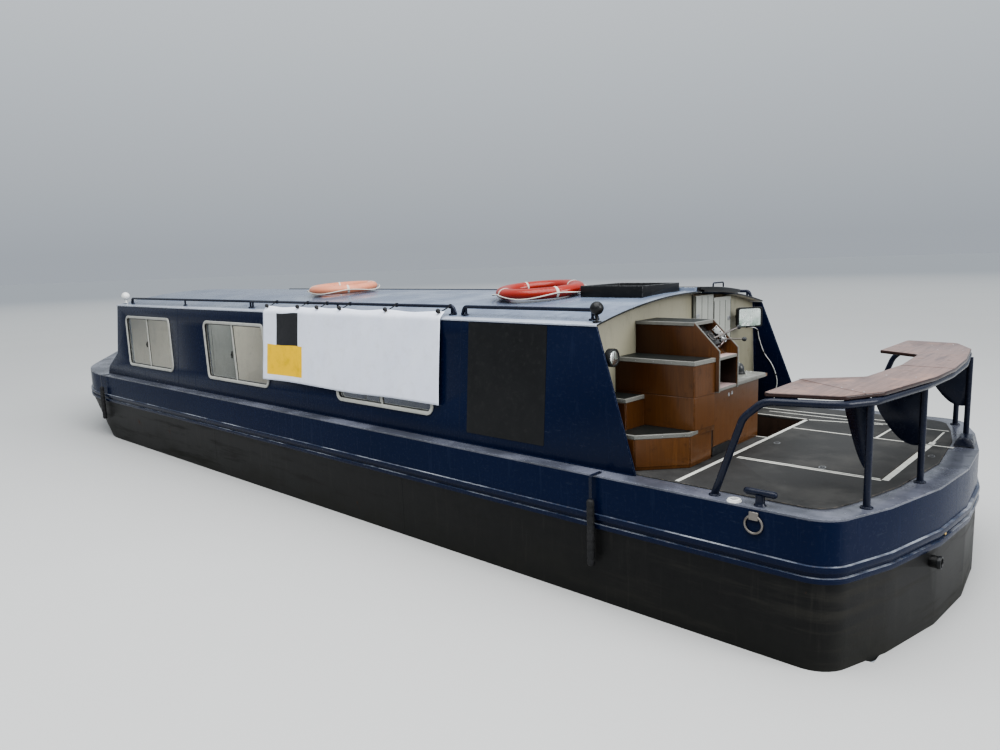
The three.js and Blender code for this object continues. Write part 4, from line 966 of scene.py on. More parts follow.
def hull_welds():
    """Upright seams on the hull and the bead at the foot of each cabin side"""
    seams, foot = [], []
    for _, hand in SIDES:
        for x in (-2.45, 0.75):
            seams.append(([(x, hand * 1.4995, z) for z in (0.40, 0.948)], (0, hand, 0), False))
        foot.append(([on_side(hand, x, 0.002, 0.001) for x in (-4.60, 3.95)], (0, 0, 1), False))
    grown("hull_seams", seams, WELD, "hull_black", Pitch=0.010, Width=0.006, Height=0.0016)
    grown("side_foot_bead", foot, BAR, "navy_paint", Radius=0.005, Sides=8)


deck_tape()
board_fittings()
transom_fittings()
hull_welds()

# Cabin

WINDOWS = (("fore", 1.904), ("middle", -0.272), ("aft", -2.740))
WINDOW_WIDE, WINDOW_HIGH, WINDOW_LOW, RAKE, CORNER = 1.310, 0.655, 0.165, 0.142, 0.075
SIDE_TOP = 0.9375
WING_AFT, WING_FORE = -4.617, 3.970


def window_ring(x, inset, steps=5):
    """The window's outline in steps forward and up, moved in by one distance"""
    top = x + RAKE
    slope = math.hypot(RAKE, WINDOW_HIGH) / WINDOW_HIGH
    low, high = WINDOW_LOW + inset, WINDOW_LOW + WINDOW_HIGH - inset
    shift = RAKE * inset / WINDOW_HIGH
    corners = [(x + inset * slope + shift, low), (x + WINDOW_WIDE - inset * slope + shift, low),
               (top + WINDOW_WIDE - inset * slope - shift, high), (top + inset * slope - shift, high)]
    return eased(corners, max(0.006, CORNER - inset), True, steps)


def window(side, hand, name, x):
    """An aluminium frame in two halves, rubber seals, a fixed pane and a sliding one with its catch. What comes
    back is the line of the frame's screws"""
    def ring(inset, out):
        """The window's outline on the leaning side"""
        return [on_side(hand, p.x, p.y, out) for p in window_ring(x, inset)]

    frame_shape = Shape()
    outer = [(0.0, 0.0008), (0.0005, 0.007), (0.003, 0.0105), (0.008, 0.012), (0.020, 0.0118), (0.028, 0.0098),
             (0.033, 0.006), (0.034, 0.0), (0.034, -0.026), (0.026, -0.0262), (0.026, 0.0006)]
    inner = [(0.0, -0.0465), (0.034, -0.0465), (0.034, -0.050), (0.030, -0.052), (0.004, -0.052), (0.0, -0.050)]
    for section in (outer, inner):
        frame_shape.skin([ring(inset, out) for inset, out in section], wrap=True)
    middle = x + WINDOW_WIDE / 2

    def leaning(across, z):
        """How far forward the window's rake carries one of its uprights at a height"""
        return across + RAKE * (z - WINDOW_LOW) / WINDOW_HIGH

    def upright(shape, across, half, back, front):
        """An upright bar with eased outer corners"""
        edge = min(0.002, half * 0.3)
        rows = []
        for z in (WINDOW_LOW + 0.031, WINDOW_LOW + WINDOW_HIGH - 0.031):
            at = leaning(across, z)
            rows.append([on_side(hand, at + dx, z, out) for dx, out in (
                (-half, back), (half, back), (half, front - edge), (half - edge, front), (edge - half, front),
                (-half, front - edge))])
        shape.skin(rows)

    upright(frame_shape, middle, 0.009, -0.014, 0.006)
    upright(frame_shape, middle + 0.034, 0.006, -0.019, -0.006)
    frame_shape.piece(f"window_frame_{side}_{name}", FRAME_SILVER, stands_for=f"window_{side}_{name}")

    seals = Shape()
    section = [(0.0335, 0.001), (0.0335, -0.016), (0.040, -0.016), (0.042, -0.008), (0.040, -0.0005),
               (0.037, 0.0015)]
    seals.skin([ring(inset, out) for inset, out in section], wrap=True)
    upright(seals, middle - 0.0115, 0.0030, -0.013, -0.004)
    upright(seals, middle + 0.043, 0.0035, -0.019, -0.008)
    seals.piece(f"window_seal_{side}_{name}", RUBBER)

    glass = Shape()
    for from_x, to_x, out in ((x + 0.036, middle, -0.008), (middle + 0.02, x + WINDOW_WIDE - 0.034, -0.013)):
        cut = []
        for p in window_ring(x, 0.036, 4):
            cut.append(Vector((min(max(p.x, leaning(from_x, p.y)), leaning(to_x, p.y)), p.y)))
        kept = [p for k, p in enumerate(cut) if (p - cut[k - 1]).length > 1e-5]
        glass.skin([[on_side(hand, p.x, p.y, out + depth) for p in kept] for depth in (0.0, 0.004)])
    glass.piece(f"window_panes_{side}_{name}", "window_glass")

    z = WINDOW_LOW + 0.30
    place = facing(on_side(hand, leaning(middle + 0.075, z), z, -0.006), (0, hand, 0.08), (1, 0, 0))
    catch = Shape().block(place, (0.022, 0.075, 0.007), 0.002)
    catch.block(place @ moved(0, 0, 0.006), (0.012, 0.030, 0.010), 0.003)
    catch.piece(f"window_catch_{side}_{name}", "black_plastic")
    return ring(0.0135, 0.0116)


def cabin_sides():
    """The lined cabin sides with their windows, seams, wing edges and blank sign panels"""
    for side, hand in SIDES:
        def sort(face, hand=hand):
            """The lining on the inner face, between the bulkheads"""
            at = face.calc_center_median()
            inside = BULKHEAD_AFT < at.x < BULKHEAD_FORE + 0.04
            return 1 if inside and hand * face.normal.y < -0.5 else 0
        softened(f"cabin_side_{side}", ["navy_paint", LINING], 0.003, sort=sort)
        screws = []
        for name, x in WINDOWS:
            screws.append((window(side, hand, name, x), (0, hand, LEAN), True))
        grown(f"window_screws_{side}", screws, SCREWS, ZINC, Pitch=0.118, Width=0.0042, Height=0.0018)
        seams = [([on_side(hand, x, z, -0.0004) for z in (0.01, 0.93)], (0, hand, LEAN), False)
                 for x in (1.81, -3.02)]
        grown(f"side_seams_{side}", seams, WELD, "navy_paint", Pitch=0.009, Width=0.006, Height=0.0015)
        ends = ((WING_AFT, 0.004), (ROOF_AFT, SIDE_TOP - 0.01))
        edge = [on_side(hand, x - 0.001, z, -0.007) for x, z in ends]
        grown(f"wing_edge_{side}", [(edge, (-1, 0, 0), False)], BAR, "navy_paint", Radius=0.0052, Sides=10)
        signs = Shape()
        corners = eased(oblong(-3.866, 0.087, -3.101, 0.932), 0.012, True, 3)
        signs.skin([[on_side(hand, p.x, p.y, out) for p in corners] for out in (-0.001, 0.0022)])
        signs.piece(f"sign_panel_{side}", SIGN_BLACK, slot="black_paint")


def bulkheads():
    """The two bulkheads, lined inside, and the dark joints round the aft doors"""
    softened("aft_bulkhead", ["cream_paint", LINING], 0.003, sort=lambda face: 1 if face.normal.x > 0.5 else 0)
    softened("fore_bulkhead", ["navy_paint", LINING], 0.003, sort=lambda face: 1 if face.normal.x < -0.5 else 0)
    frame_shape = Shape()
    for y, z0, z1 in ((-0.116, 1.30, 2.37), (-0.750, 1.30, 2.33)):
        frame_shape.block(moved(-4.2125, y, (z0 + z1) / 2), (0.005, 0.005, z1 - z0), 0.001)
    frame_shape.piece("aft_door_frame", "black_paint")


def door_leaf(name, x, y0, y1, z0, z1, out, hinge_y, knob_y):
    """A boarded steel leaf: dark seams, strap hinges and a knob"""
    leaf, metal = Shape(), Shape()
    face = x + 0.013 * out
    width, middle, tall = (y1 - y0) / 3, (z0 + z1) / 2, z1 - z0
    for y in (y0 + width, y0 + 2 * width):
        leaf.block(moved(face, y, middle), (0.0024, 0.004, tall - 0.012))
    for y in (y0 + 0.002, y1 - 0.002):
        leaf.block(moved(face, y, middle), (0.003, 0.004, tall - 0.01))
    leaf.piece(name + "_seams", RUBBER, name)
    toward = 1 if knob_y > hinge_y else -1
    hinges = (z0 + 0.16, middle + 0.03, z1 - 0.16)
    for z in hinges:
        metal.bar([(x, hinge_y, z - 0.035), (x, hinge_y, z + 0.035)], 0.007, 12)
        metal.block(moved(face, hinge_y + toward * 0.03, z), (0.004, 0.052, 0.036), 0.0015)
    at = Vector((x + 0.012 * out, knob_y, z0 + tall * 0.55))
    metal.turned([(0, 0), (0.020, 0), (0.020, 0.003), (0.009, 0.005), (0.007, 0.014), (0.014, 0.020),
                  (0.016, 0.028), (0.011, 0.034), (0, 0.035)], facing(at, (out, 0, 0), (0, 1, 0)), 20)
    metal.piece(name + "_hinges", ZINC, name)
    ends = [hinge_y + toward * along for along in (0.016, 0.047)]
    rows = [([(face + 0.0022 * out, y, z + rise) for y in ends], (out, 0, 0), False)
            for z in hinges for rise in (-0.010, 0.010)]
    grown(name + "_screws", rows, SCREWS, ZINC, name, Pitch=0.030, Width=0.0035, Height=0.0018)


def doors():
    """The four leaves, each with its trim on its own body"""
    for name in DOORS:
        softened(name, "pale_grey_paint", 0.003)
    door_leaf("aft_door_port", -4.229, -0.4285, -0.122, 0.765, 2.355, -1, -0.1275, -0.395)
    door_leaf("aft_door_starboard", -4.229, -0.743, -0.4355, 0.765, 2.30, -1, -0.7375, -0.47)
    door_leaf("fore_door_port", 3.619, 0.0035, 0.338, 1.020, 2.158, 1, 0.3325, 0.045)
    door_leaf("fore_door_starboard", 3.619, -0.338, -0.0035, 1.020, 2.158, 1, -0.3325, -0.045)


def camber(y0, y1, x, lift, steps=24):
    """A line across the boat that follows the roof's camber"""
    across = [y0 + (y1 - y0) * k / steps for k in range(steps + 1)]
    return [Vector((x, y, roof_height(y) + lift)) for y in across]


def roof():
    """The roof, its hatch with a grip and runner caps, and its tray"""
    softened("roof", ["roof_paint", LINING], 0.003, sort=lambda face: 1 if face.normal.z < -0.5 else 0)
    softened("hatch", "black_paint", 0.003)
    softened("roof_tray", "black_paint", 0.004)
    edges = [(camber(y0, y1, ROOF_AFT - 0.0015, -0.006), (-1, 0, 0), False)
             for y0, y1 in ((-0.135, 1.296), (-1.296, -0.77))]
    grown("roof_aft_edge", edges, BAR, "black_paint", Radius=0.006, Sides=8)
    grip = Shape()
    z = roof_height(-0.45) + 0.034
    grip.bar(eased([(-4.27, -0.54, z), (-4.27, -0.54, z + 0.035), (-4.27, -0.36, z + 0.035), (-4.27, -0.36, z)],
                   [0, 0.014, 0.014, 0]), 0.006, 12)
    grip.piece("hatch_grip", "rail_paint", "hatch")
    caps = Shape()
    for y in (-0.088, -0.817):
        for x in (-4.262, -2.968):
            caps.block(moved(x, y, roof_height(y) + 0.015), (0.006, 0.024, 0.034), 0.002)
    caps.piece("runner_caps", "roof_paint")


cabin_sides()
bulkheads()
doors()
roof()

# Helm lockers. Heights are above the boards

FACE = -4.213
CONSOLE_Y = 0.5675
KNOB_RADIUS = 0.0165
KNOB = [(0, -1.05), (0.45, -1), (0.55, -0.8), (0.85, -0.45), (1, 0.0), (0.9, 0.45), (0.6, 0.8), (0.25, 0.97),
        (0, 1)]
CONSOLE_TOP = 0.920
SHELF_TOP = 0.4865
LOCKERS = {
    "low": ([(FACE, 0.720), (FACE, 1.290), (-4.560, 1.290), (-4.810, 1.020), (-4.810, 0.720)], 0.232),
    "high": ([(FACE, 0.970), (FACE, 1.200), (-4.430, 1.190), (-4.440, 0.970)], 0.442),
    "column": ([(FACE, 0.720), (FACE, 0.980), (-4.810, 0.965), (-4.830, 0.720)], 0.690),
}


def level(height):
    """A height above the boards"""
    return BOARD_TOP + height


def lid(covering, trims, corners, top, trimmed, high=0.024, out=0.004):
    """A covered lid with a thick pale trim along its open edges"""
    centre = sum((Vector(c) for c in corners), Vector((0, 0))) / len(corners)
    inner = [centre + (Vector(c) - centre) * 0.985 for c in corners]
    covering.plate(inner, low=level(top) - 0.004, high=level(top) + 0.0018, round_by=0.0008, segments=1)
    band(trims, trimmed, strip_section(out, -0.014, level(top) - high, level(top) + 0.0026, 0.002))


def front(panels, start, end, low, high, proud=0.0032, gap=0.005):
    """A ply front on an upright face, from one corner to the next anticlockwise"""
    start, end = Vector((*start, 0)), Vector((*end, 0))
    along = (end - start).normalized()
    out = Vector((along.y, -along.x, 0))
    mid = (start + end) / 2 + Vector((0, 0, level((low + high) / 2)))
    half, tall = (end - start).length / 2 - gap, (high - low) / 2
    panels.plate([(-half, -tall), (half, -tall), (half, tall), (-half, tall)], facing(mid, out, along),
                 -0.002, proud, 0.0012, 1)


def lockers():
    """The lockers and the console: covered lids, ply fronts, pale trims, shadow gaps and finger pulls"""
    for node in ("step_locker", "helm_console", "side_locker"):
        softened(node, "varnished_wood", 0.003, grain=2)
    covering, trims, panels, dark = Shape(), Shape(), Shape(), Shape()
    low, low_top = LOCKERS["low"]
    high, high_top = LOCKERS["high"]
    column, column_top = LOCKERS["column"]
    lid(covering, trims, low, low_top, low[1:])
    lid(covering, trims, high, high_top, high[1:])
    lid(covering, trims, column, column_top, column[1:] + [(-4.80, 0.720)], 0.026)
    for bottom, top, ends in (
            (0.022, 0.206, ((low[2], low[3]), (low[3], low[4]), (low[1], low[2]))),
            (0.236, 0.416, ((high[1], high[2]), (high[2], (-4.437, 0.985)))),
            (0.236, 0.452, ((column[1], column[2]), (column[2], column[3]))),
            (0.457, 0.662, ((column[1], column[2]), (column[2], column[3]))),
            (0.072, 0.458, (((-4.800, 0.690), (-4.800, 0.418)),)),
            (0.020, 0.455, (((-4.790, 0.416), (-4.790, -0.066)), ((-4.790, -0.070), (FACE, -0.070))))):
        for start, end in ends:
            front(panels, start, end, bottom, top)
    for x, y, z, size in ((-4.8008, CONSOLE_Y, 0.034, (0.0030, 0.289, 0.066)),
                          (-4.500, 0.7175, 0.24, (0.560, 0.0036, 0.47)),
                          (-4.8008, 0.7025, 0.232, (0.0030, 0.025, 0.46))):
        dark.block(moved(x, y, level(z)), size)
    dark.piece("locker_shadow_gaps", RUBBER)

    # The console's top, its cheeks' trims and the linings of its shelf
    console = [(FACE, 0.420), (FACE, 0.715), (-4.670, 0.715), (-4.670, 0.420)]
    lid(covering, trims, console, CONSOLE_TOP, console[1:] + [(FACE, 0.420)], 0.022, 0.003)
    cheek = [(-4.82, 0.460), (-4.855, 0.460), (-4.855, 0.735), (-4.670, CONSOLE_TOP), (-4.655, CONSOLE_TOP)]
    section = [(-0.004, 0.0035), (0.0022, 0.0035), (0.0036, 0.005), (0.0036, 0.013), (0.0022, 0.0145),
               (-0.004, 0.0145)]
    for y in (0.438, 0.715):
        band(trims, cheek, section, moved(0, y, BOARD_TOP) @ UPRIGHT)
    linings, inside = Shape(), Shape()
    for x, z, size in ((-4.592, 0.4812, (0.514, 0.255, 0.0028)), (-4.592, 0.6708, (0.505, 0.255, 0.0030)),
                       (-4.812, 0.6912, (0.078, 0.255, 0.0026))):
        linings.block(moved(x, CONSOLE_Y, level(z)), size, 0.001)
    # Near-black sheets on the bay's back and side walls, as painted shade
    for x, y, size in ((-4.3345, CONSOLE_Y, (0.0030, 0.255, 0.186)), (-4.592, 0.4394, (0.512, 0.0030, 0.186)),
                       (-4.592, 0.6956, (0.512, 0.0030, 0.186))):
        inside.block(moved(x, y, level(0.576)), size, 0.001)
    inside.piece("console_bay_inside", SHADE_PAINTED_PLY, grain=2)
    linings.piece("console_linings", SHELF_LINING)
    for z in (0.471, 0.681):
        trims.block(moved(-4.852, CONSOLE_Y, level(z)), (0.005, 0.257, 0.020), 0.0018)

    # The side locker's pale shelf, rounded at its free corner
    plan = eased([(-4.848, 0.418), (-4.848, -0.103), (-4.270, -0.103), (-4.270, 0.418)], [0, 0.05, 0, 0])
    shelf = Shape().plate(plan[::-1], low=level(0.459), high=level(SHELF_TOP), round_by=0.004, segments=3)
    shelf.piece("side_locker_top", EDGE_TRIM)
    covering.piece("locker_lid_coverings", LID_BLACK)
    trims.piece("locker_trims", EDGE_TRIM)
    panels.piece("locker_fronts", "varnished_wood", grain=2)

    pulls = Shape()
    dish = [(0, 0), (0.014, 0), (0.0145, 0.0015), (0.011, 0.0025), (0.0095, 0.0006), (0, 0.0006)]
    spots = ((-4.8032, 0.452, 0.40), (-4.7932, 0.38, 0.40), (-4.824, 0.765, 0.43), (-4.824, 0.765, 0.63))
    for x, y, z in spots:
        pulls.turned(dish, facing((x, y, level(z)), (-1, 0, 0), (0, 1, 0)), 20)
    pulls.piece("locker_finger_pulls", ZINC)
    rows = []
    for (a, b), z in (((low[2], low[3]), 0.219), ((low[3], low[4]), 0.219), ((column[1], column[2]), 0.677),
                      ((column[2], column[3]), 0.677), ((high[1], high[2]), 0.430)):
        a, b = Vector((*a, level(z))), Vector((*b, level(z)))
        way = (b - a).normalized()
        out = Vector((way.y, -way.x, 0))
        rows.append(([a + way * 0.03 + out * 0.0038, b - way * 0.03 + out * 0.0038], out, False))
    grown("trim_screws", rows, SCREWS, ZINC, Pitch=0.11, Width=0.0030, Height=0.0012)


def controls():
    """The panel on the console's slope, its round gauge, the two control heads and their levers"""
    # X runs up the slope, Y to port and Z out from it
    place = facing((-4.772, CONSOLE_Y, level(0.690)), (-1, 0, 1), (1, 0, 1))
    across, up_slope, outward = (place.to_3x3() @ Vector(way) for way in ((0, 1, 0), (1, 0, 0), (0, 0, 1)))
    slab = Shape().plate(eased(oblong(0.050, -0.122, 0.262, 0.122), 0.012, True), place, 0.0006, 0.014, 0.003)
    slab.piece("control_panel", "panel_metal", stands_for="helm_controls")

    # A round gauge with its rim, marks and hand
    middle = place @ moved(0.216, 0.018, 0.0)
    rim = [(0, 0.010), (0.038, 0.010), (0.040, 0.014), (0.040, 0.030), (0.038, 0.034), (0.034, 0.034),
           (0.0325, 0.030), (0.0325, 0.024), (0, 0.024)]
    Shape().turned(rim, middle, 32).piece("gauge_body", CHROME)
    dial = [(0, 0.0235), (0.0322, 0.0235), (0.0322, 0.0246), (0, 0.0246)]
    Shape().turned(dial, middle, 28).piece("gauge_dial", SIGN_BLACK)
    marks = Shape()
    for k in range(11):
        spoke = middle @ Matrix.Rotation(math.radians(-135 + 27 * k), 4, "Z")
        marks.block(spoke @ moved(0.0265, 0, 0.0249), (0.007 if k % 5 else 0.009, 0.0014, 0.0006))
    hand = middle @ Matrix.Rotation(math.radians(100), 4, "Z")
    marks.block(hand @ moved(0.008, 0, 0.0255), (0.026, 0.0018, 0.0008))
    marks.piece("gauge_marks", LINE_WHITE)

    dark, bright, knobs, worn = Shape(), Shape(), Shape(), Shape()

    def head(shape, s0, s1, y0, y1, proud, hub_s, hub_lift, hub_radius):
        """A control head with a round hub on each cheek"""
        shape.block(place @ moved((s0 + s1) / 2, (y0 + y1) / 2, (0.010 + proud) / 2),
                    (s1 - s0, y1 - y0, proud - 0.010), 0.007, 3)
        for y, out in ((y0, -1), (y1, 1)):
            spot = facing(place @ Vector((hub_s, y, hub_lift)), across * out, up_slope)
            shape.turned([(0, 0), (hub_radius, 0), (hub_radius, 0.0026), (hub_radius * 0.9, 0.004),
                          (hub_radius * 0.35, 0.004), (hub_radius * 0.3, 0.0048), (0, 0.005)], spot, 26)

    head(dark, 0.056, 0.178, -0.066, 0.052, 0.054, 0.122, 0.046, 0.024)
    head(bright, 0.052, 0.096, -0.116, -0.078, 0.062, 0.074, 0.062, 0.020)

    def lever(start, end, radius):
        """A tapered lever with its knob"""
        start, end = place @ Vector(start), place @ Vector(end)
        worn.bar([start.lerp(end, t) for t in (0.0, 0.3, 0.6, 0.9, 1.0)],
                 [radius * share for share in (1.25, 1.1, 1.0, 0.9, 0.9)], 14)
        profile = [(KNOB_RADIUS * r, KNOB_RADIUS * h) for r, h in KNOB]
        knobs.turned(profile, facing(end, end - start, up_slope), 24)

    # A raised oval ring on the head, and the side plate with its bolts on the starboard cheek
    ring = [place @ Vector((0.122 + 0.034 * c * (1.0 if abs(c) < 0.7 else 0.94), -0.008 + 0.032 * s, 0.0545))
            for c, s in oval(36)]
    worn.bar(ring, 0.0042, 10, wrap=True)
    side_plate = Shape().block(place @ moved(0.135, -0.1235, 0.064), (0.104, 0.0044, 0.046), 0.0018)
    side_plate.piece("control_side_plate", "white_plastic")
    bright.turned([(0, 0), (0.012, 0), (0.0125, 0.016), (0.0115, 0.020), (0.006, 0.0225), (0, 0.023)],
                  place @ moved(0.078, -0.098, 0.058), 24)
    lever((0.108, -0.030, 0.052), (0.095, -0.240, 0.151), 0.0062)
    lever((0.076, -0.098, 0.066), (-0.002, -0.206, 0.136), 0.0044)
    worn.piece("control_lever_worn", WORN_STEEL)
    dark.piece("control_head_dark", SIGN_BLACK)
    bright.piece("control_head_bright", CHROME)
    knobs.piece("control_knobs", SMOKED)
    rows = [([place @ Vector((s, y, 0.0142)) for y in (-0.112, 0.112)], outward, False) for s in (0.060, 0.252)]
    bolts = [([place @ Vector((s, -0.1212, z)) for s in (0.092, 0.178)], across, False) for z in (0.050, 0.078)]
    grown("control_screws", rows, SCREWS, ZINC, Pitch=0.0745, Width=0.0032, Height=0.0016)
    grown("control_bolts", bolts, SCREWS, "black_plastic", Pitch=0.0429, Width=0.0052, Height=0.0036)


def compass():
    """A dome compass: dark base ring, liquid-filled dome over a pale card"""
    at = moved(-4.690, 0.060, level(SHELF_TOP))
    base = [(0, 0), (0.049, 0), (0.050, 0.004), (0.047, 0.012), (0.044, 0.020), (0.040, 0.022), (0, 0.022)]
    Shape().turned(base, at, 32).piece("compass_base", "black_plastic")
    card = [(0, 0.024), (0.029, 0.024), (0.032, 0.030), (0.029, 0.037), (0.012, 0.041), (0, 0.042)]
    Shape().turned(card, at, 28).piece("compass_card", LINE_WHITE)
    curve = [(0.0425 * c, 0.034 + 0.050 * s) for c, s in oval(30)[:8]]
    dome = [(0, 0.0215), (0.0405, 0.0215), (0.0425, 0.026), *curve, (0, 0.084)]
    Shape().turned(dome, at, 32).piece("compass_dome", SMOKED, stands_for="compass")


lockers()
controls()
compass()

# Taffrail and its seat

RAIL_LIFT = 1.301
SEAT_TOP, SEAT_THICK = 0.630, 0.024
TUBE = 0.021
RAIL_LOW = SEAT_TOP - SEAT_THICK - TUBE - 0.002
RAIL_HALF = [(-0.905, 1.420, 0.008), (-1.075, 1.432, 0.480)] + [(x, y, RAIL_LOW) for x, y in (
    (-1.190, 1.422), (-1.560, 1.322), (-1.675, 1.120), (-1.765, 0.520), (-1.790, 0.0))]
RAIL_BENDS = [0.0, 0.14, 0.12, 0.16, 0.20, 0.9, 0.9]
KNEE_TOP = SEAT_TOP - SEAT_THICK - 0.001
KNEES = {
    "wide": [(0, 0.225), (0.056, 0.222), (0.112, 0.244), (0.168, 0.298), (0.224, 0.376), (0.262, 0.450),
             (0.290, KNEE_TOP)],
    "narrow": [(0, 0.195), (0.015, 0.205), (0.058, 0.251), (0.102, 0.331), (0.145, 0.433), (0.174, 0.506),
               (0.195, KNEE_TOP)],
}
POSTS = ((-1.655, 1.150, "narrow", 0.5), (-1.757, 0.490, "wide", 0.0), (-1.722, -0.930, "wide", -0.2),
         (-1.580, -1.290, "narrow", -0.7))
SEAT_PLAN = [
    (-1.175, -1.440, 0.030), (-1.175, -0.700, 0), (-1.462, -0.560, 0.060), (-1.502, 0, 0),
    (-1.462, 0.600, 0.060), (-1.175, 0.850, 0), (-1.175, 1.420, 0.030), (-1.570, 1.310, 0.060),
    (-1.700, 1.060, 0.060), (-1.800, 0.420, 0), (-1.815, 0, 0), (-1.785, -0.480, 0), (-1.700, -1.060, 0.060),
    (-1.545, -1.390, 0.060),
]


FLANGE = [(0, 0), (0.034, 0), (0.034, 0.004), (0.032, 0.006), (0.024, 0.0065), (0.0225, 0.012), (0, 0.012)]


def taffrail():
    """The tube, its posts and knee plates, welded and bolted down on flanges"""
    half = [Vector((ROOF_AFT + x, y, RAIL_LIFT + z)) for x, y, z in RAIL_HALF]
    points = half + [Vector((p.x, -p.y, p.z)) for p in reversed(half[:-1])]
    bends = RAIL_BENDS + RAIL_BENDS[-2::-1]
    rail = Shape()
    rail.bar(eased(points, bends, False, 7), TUBE, 22)
    beads, bolts = [], []
    spots = [(ROOF_AFT + x, y) for x, y, _, _ in POSTS] + [(half[0].x, half[0].y), (half[0].x, -half[0].y)]
    for x, y in spots:
        rail.turned(FLANGE, moved(x, y, RAIL_LIFT), 28)
        bead = [(x + c, y + s, RAIL_LIFT + 0.007) for c, s in oval(20, 0.0225)]
        beads.append((bead, [Vector((c, s, 1)) for c, s in oval(20)], True))
        bolts.append(([(x + c, y + s, RAIL_LIFT + 0.0055) for c, s in oval(20, 0.028)], (0, 0, 1), True))
    for x, y, knee, web in POSTS:
        at = Vector((ROOF_AFT + x, y, RAIL_LIFT))
        rail.bar([at, at + Vector((0, 0, 0.3)), at + Vector((0, 0, RAIL_LOW))], TUBE - 0.002, 18, domed=False)
        turn = moved(*at) @ Matrix.Rotation(-web, 4, "Z") @ UPRIGHT
        curve = smooth_path([(*p, 0) for p in KNEES[knee]], 3)
        rail.plate([(0, KNEE_TOP)] + [(p.x, min(p.y, KNEE_TOP)) for p in curve], turn, -0.004, 0.004, 0.0012, 1)
        heights = (KNEES[knee][1][1] + 0.02, KNEE_TOP - 0.03)
        for side in (-1, 1):
            bead = [turn @ Vector((0.019, h, 0.004 * side)) for h in heights]
            beads.append((bead, turn.to_3x3() @ Vector((0.4, 0, side)), False))
    rail.piece("taffrail_tubes", "rail_paint", stands_for="taffrail", smooth=45)
    grown("taffrail_welds", beads, WELD, "rail_paint", Pitch=0.0045, Width=0.0036, Height=0.0026)
    grown("taffrail_bolts", bolts, SCREWS, "rail_paint", Pitch=0.0438, Width=0.0042, Height=0.0030)


def seat():
    """The wooden seat with dark edges, its joints and its screws"""
    plan = eased([(ROOF_AFT + x, y) for x, y, _ in SEAT_PLAN], [r for _, _, r in SEAT_PLAN], True, 5)
    high = RAIL_LIFT + SEAT_TOP
    board = Shape().plate(plan, low=high - SEAT_THICK, high=high, round_by=0.007, segments=4)
    for face in board.bm.faces:
        face.material_index = 1 if abs(face.normal.z) < 0.9 else 0
    board.piece("taffrail_seat_board", ["seat_wood", DARK_EDGE], slot="seat_wood", stands_for="taffrail_seat",
                grain=1)
    joints = Shape()
    for start, end in (((-1.165, 0.875), (-1.650, 1.185)), ((-1.500, 0.03), (-1.815, 0.03))):
        start, end = (Vector((ROOF_AFT + x, y, high + 0.0002)) for x, y in (start, end))
        place = facing((start + end) / 2, (0, 0, 1), end - start)
        joints.block(place, ((end - start).length - 0.012, 0.0026, 0.0012))
    joints.piece("seat_joints", DARK_EDGE)
    rows = []
    for x, y, _, web in POSTS:
        inward = Vector((math.cos(web), -math.sin(web), 0))
        at = Vector((ROOF_AFT + x, y, high))
        rows.append(([at + inward * 0.05, at + inward * 0.21], (0, 0, 1), False))
    grown("seat_screws", rows, SCREWS, ZINC, Pitch=0.08, Width=0.005, Height=0.0016)


taffrail()
seat()

# Deck and roof fittings


def studs():
    """The mooring studs: a turned post with a cross bar"""
    profile = [(0, -0.01), (0.034, -0.01), (0.034, 0.002), (0.030, 0.006), (0.026, 0.014), (0.025, 0.050),
               (0.030, 0.062), (0, 0.064)]
    for name, at, along in (("port", (-5.470, 1.448), (1, 0, 0)), ("starboard", (-5.470, -1.448), (1, 0, 0)),
                            ("bow", (HALF_LENGTH - 0.330, 0.0), (0, 1, 0))):
        lift = DECK_TOP + (deck_lift(HALF_LENGTH - 0.290) if name == "bow" else deck_lift(at[0]) + 0.001)
        foot = Vector((*at, lift))
        stud = Shape().turned(profile, moved(*foot), 28)
        top = foot + Vector((0, 0, 0.072))
        bar = [top + Vector(along) * s for s in (-0.078, -0.04, 0, 0.04, 0.078)]
        stud.bar(bar, [0.0200, 0.0195, 0.0190, 0.0195, 0.0200], 24)
        stud.piece(f"mooring_stud_{name}_post", "rail_paint", stands_for=f"mooring_stud_{name}", smooth=45)


def small_deck_parts():
    """The filler cap and the mooring rings"""
    at = moved(-5.325, 1.462, 1.3005)
    cap = Shape().turned([(0, 0), (0.042, 0), (0.042, 0.004), (0.040, 0.007), (0.037, 0.0075), (0.036, 0.013),
                          (0.034, 0.0145), (0.022, 0.015), (0.0205, 0.0125), (0, 0.0125)], at, 40)
    cap.block(at @ moved(0, 0, 0.0137), (0.034, 0.007, 0.004), 0.001)
    cap.piece("filler_cap_top", "white_plastic", stands_for="filler_cap")
    disc = [(0, 0.0120), (0.0200, 0.0120), (0.0200, 0.0134), (0, 0.0138)]
    Shape().turned(disc, at, 28).piece("filler_cap_disc", ZINC)
    for side, hand in SIDES:
        x, y, z = -5.460, hand * 1.509, 1.205
        ring = Shape().bar([(x + c, y, z + s) for c, s in oval(40, 0.050)], 0.0068, 14, wrap=True)
        ring.block(moved(x, hand * 1.5085, 1.253), (0.054, 0.015, 0.048), 0.004, 3)
        ring.piece(f"mooring_ring_{side}_eye", GALVANISED, stands_for=f"mooring_ring_{side}", smooth=45)


